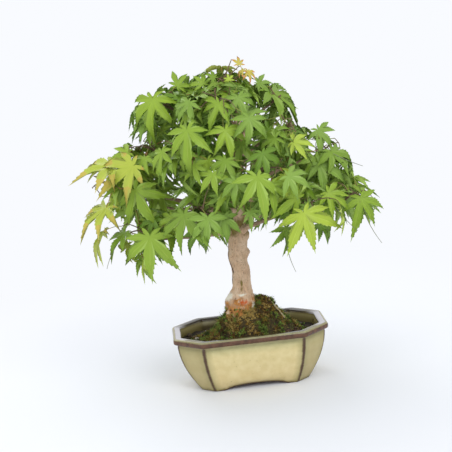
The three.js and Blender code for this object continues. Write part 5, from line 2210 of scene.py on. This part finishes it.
    @staticmethod
    def blades(root: Array, normal: Array, length: Array, kind: Array, random: Chance) -> Shell:
        """Three-sided blades, each of which leans out from the normal by chance and bends over.

        Args:
            root: where each stands.
            normal: the surface's normal there.
            length: how long its tuft is.
            kind: the number of its material.
            random: the chance.

        Returns:
            All blades as one shell.
        """
        count = len(root)
        lean = unit(normal + random.normal(0, 0.6, (count, 3)))
        bent = unit(lean + random.normal(0, 0.4, (count, 3)) - UP * 0.3)
        length = (length * random.uniform(0.6, 1.2, count))[:, None]
        middle = root + lean * length * 0.6
        tip = middle + bent * length * 0.6
        girth = np.stack([random.uniform(0.2, 0.32, count), random.uniform(0.16, 0.26, count)], 1)
        rings = tube_rings(np.stack([root - normal * 0.6, middle], 1), girth, 3)
        points = np.concatenate([rings.reshape(count, 6, 3), tip[:, None]], 1)
        starts = (np.arange(count) * 7)[:, None, None]
        peak, foot = np.array([[3, 4, 6], [4, 5, 6], [5, 3, 6]]), np.array([[2, 1, 0]])
        shell = Shell.of(points, *(faces + starts for faces in (ring_faces(2, 3), peak, foot)))
        shell.finish = np.concatenate([np.repeat(kind, 3), np.repeat(kind, 3), kind])
        return shell


# The studio


@dataclass(frozen=True)
class Studio:
    """A plain pale floor, soft light and the camera at the photograph's angle."""

    sight: Sight
    sensor: float = 36
    sky: str = "F9FBFF"
    paper: str = "E4E6EA"
    sky_strength: float = 1.0
    floor_radius: float = 6000
    target: Row = (0, 0, 170)
    light_size: float = 1000
    # Each light's name, place and watts.
    lights: tuple[tuple[str, Row, float], ...] = (
        ("key_window", (700, -1400, 1300), 12.5),
        ("fill_window", (-1300, -800, 600), 3.5),
        ("back_window", (-500, 1300, 1300), 8),
    )

    def build(self) -> None:
        """Makes the floor, the world, the lights and the camera."""
        scene = bpy.context.scene
        scene.view_settings.view_transform = "Standard"
        self.build_floor()
        world = bpy.data.worlds.new("studio_air")
        world.use_nodes = True
        world.node_tree.nodes.clear()
        air = {"Color": linear(self.sky), "Strength": self.sky_strength}
        sky = add_node(world.node_tree, "Background", air)
        add_node(world.node_tree, "OutputWorld", {"Surface": sky.outputs[0]})
        scene.world = world
        for name, place, power in self.lights:
            self.add_light(name, vector(*place), power)
        self.add_camera()

    def build_floor(self) -> None:
        """The floor: matt near the pot, fading to the air's own brightness so that no edge shows."""
        paint = Paint("studio_floor_paper")
        fill(paint.shader, {"Base Color": linear(self.paper), "Roughness": 0.9})
        far = add_node(paint.tree, "VectorMath", {0: paint.place}, operation="LENGTH").outputs["Value"]
        share = paint.share(far, 0.12, 0.55)
        share.node.interpolation_type = "SMOOTHSTEP"
        glow = add_node(paint.tree, "Emission", {"Color": linear(self.sky), "Strength": self.sky_strength})
        inputs = {0: share, 1: paint.shader.outputs["BSDF"], 2: glow.outputs["Emission"]}
        fill(paint.surface, {"Surface": add_node(paint.tree, "MixShader", inputs).outputs[0]})
        points = np.stack([np.cos(turns(96)), np.sin(turns(96)), np.zeros(96)], -1) * self.floor_radius
        mesh = bpy.data.meshes.new("studio_floor")
        mesh.from_pydata((points * MM - vector(0, 0, 0.0002)).tolist(), [], [list(range(96))])
        mesh.materials.append(paint.material)
        stand("studio_floor", mesh)

    def add_light(self, name: str, place: Array, power: float) -> None:
        """A square soft light that faces the middle of the crown.

        Args:
            name: the light's name.
            place: its middle in millimetres.
            power: watts.
        """
        light = bpy.data.lights.new(name, "AREA")
        light.size = self.light_size * MM
        light.energy = power
        holder = stand(name, light)
        holder.location = place * MM
        heading = Vector((vector(*self.target) - place).tolist())
        holder.rotation_euler = heading.to_track_quat("-Z", "Y").to_euler()
        holder.visible_camera = False

    def add_camera(self) -> None:
        """The camera, which stands and looks as the photograph's did."""
        axes, place = self.sight.axes()
        camera = bpy.data.cameras.new("photo_camera")
        camera.sensor_width = self.sensor
        camera.lens = self.sensor * self.sight.focal / self.sight.size
        camera.clip_end = 100
        holder = stand("photo_camera", camera)
        holder.matrix_world = Matrix.LocRotScale(Vector(place * MM), Matrix(axes.T.tolist()), None)
        bpy.context.scene.camera = holder


def main() -> None:
    """Builds every part of the tree."""
    logging.basicConfig(level=logging.INFO, format="%(message)s")
    pot, trunk, sight = Pot(), Trunk(), Sight()
    soil, rule = Soil(pot), GrowthRule(trunk, Canopy(sight))
    for part in (Studio(sight), pot, soil, Moss(soil, trunk), trunk, Crown(rule)):
        LOG.info("building the %s", type(part).__name__.lower())
        part.build()


if __name__ == "__main__":
    main()
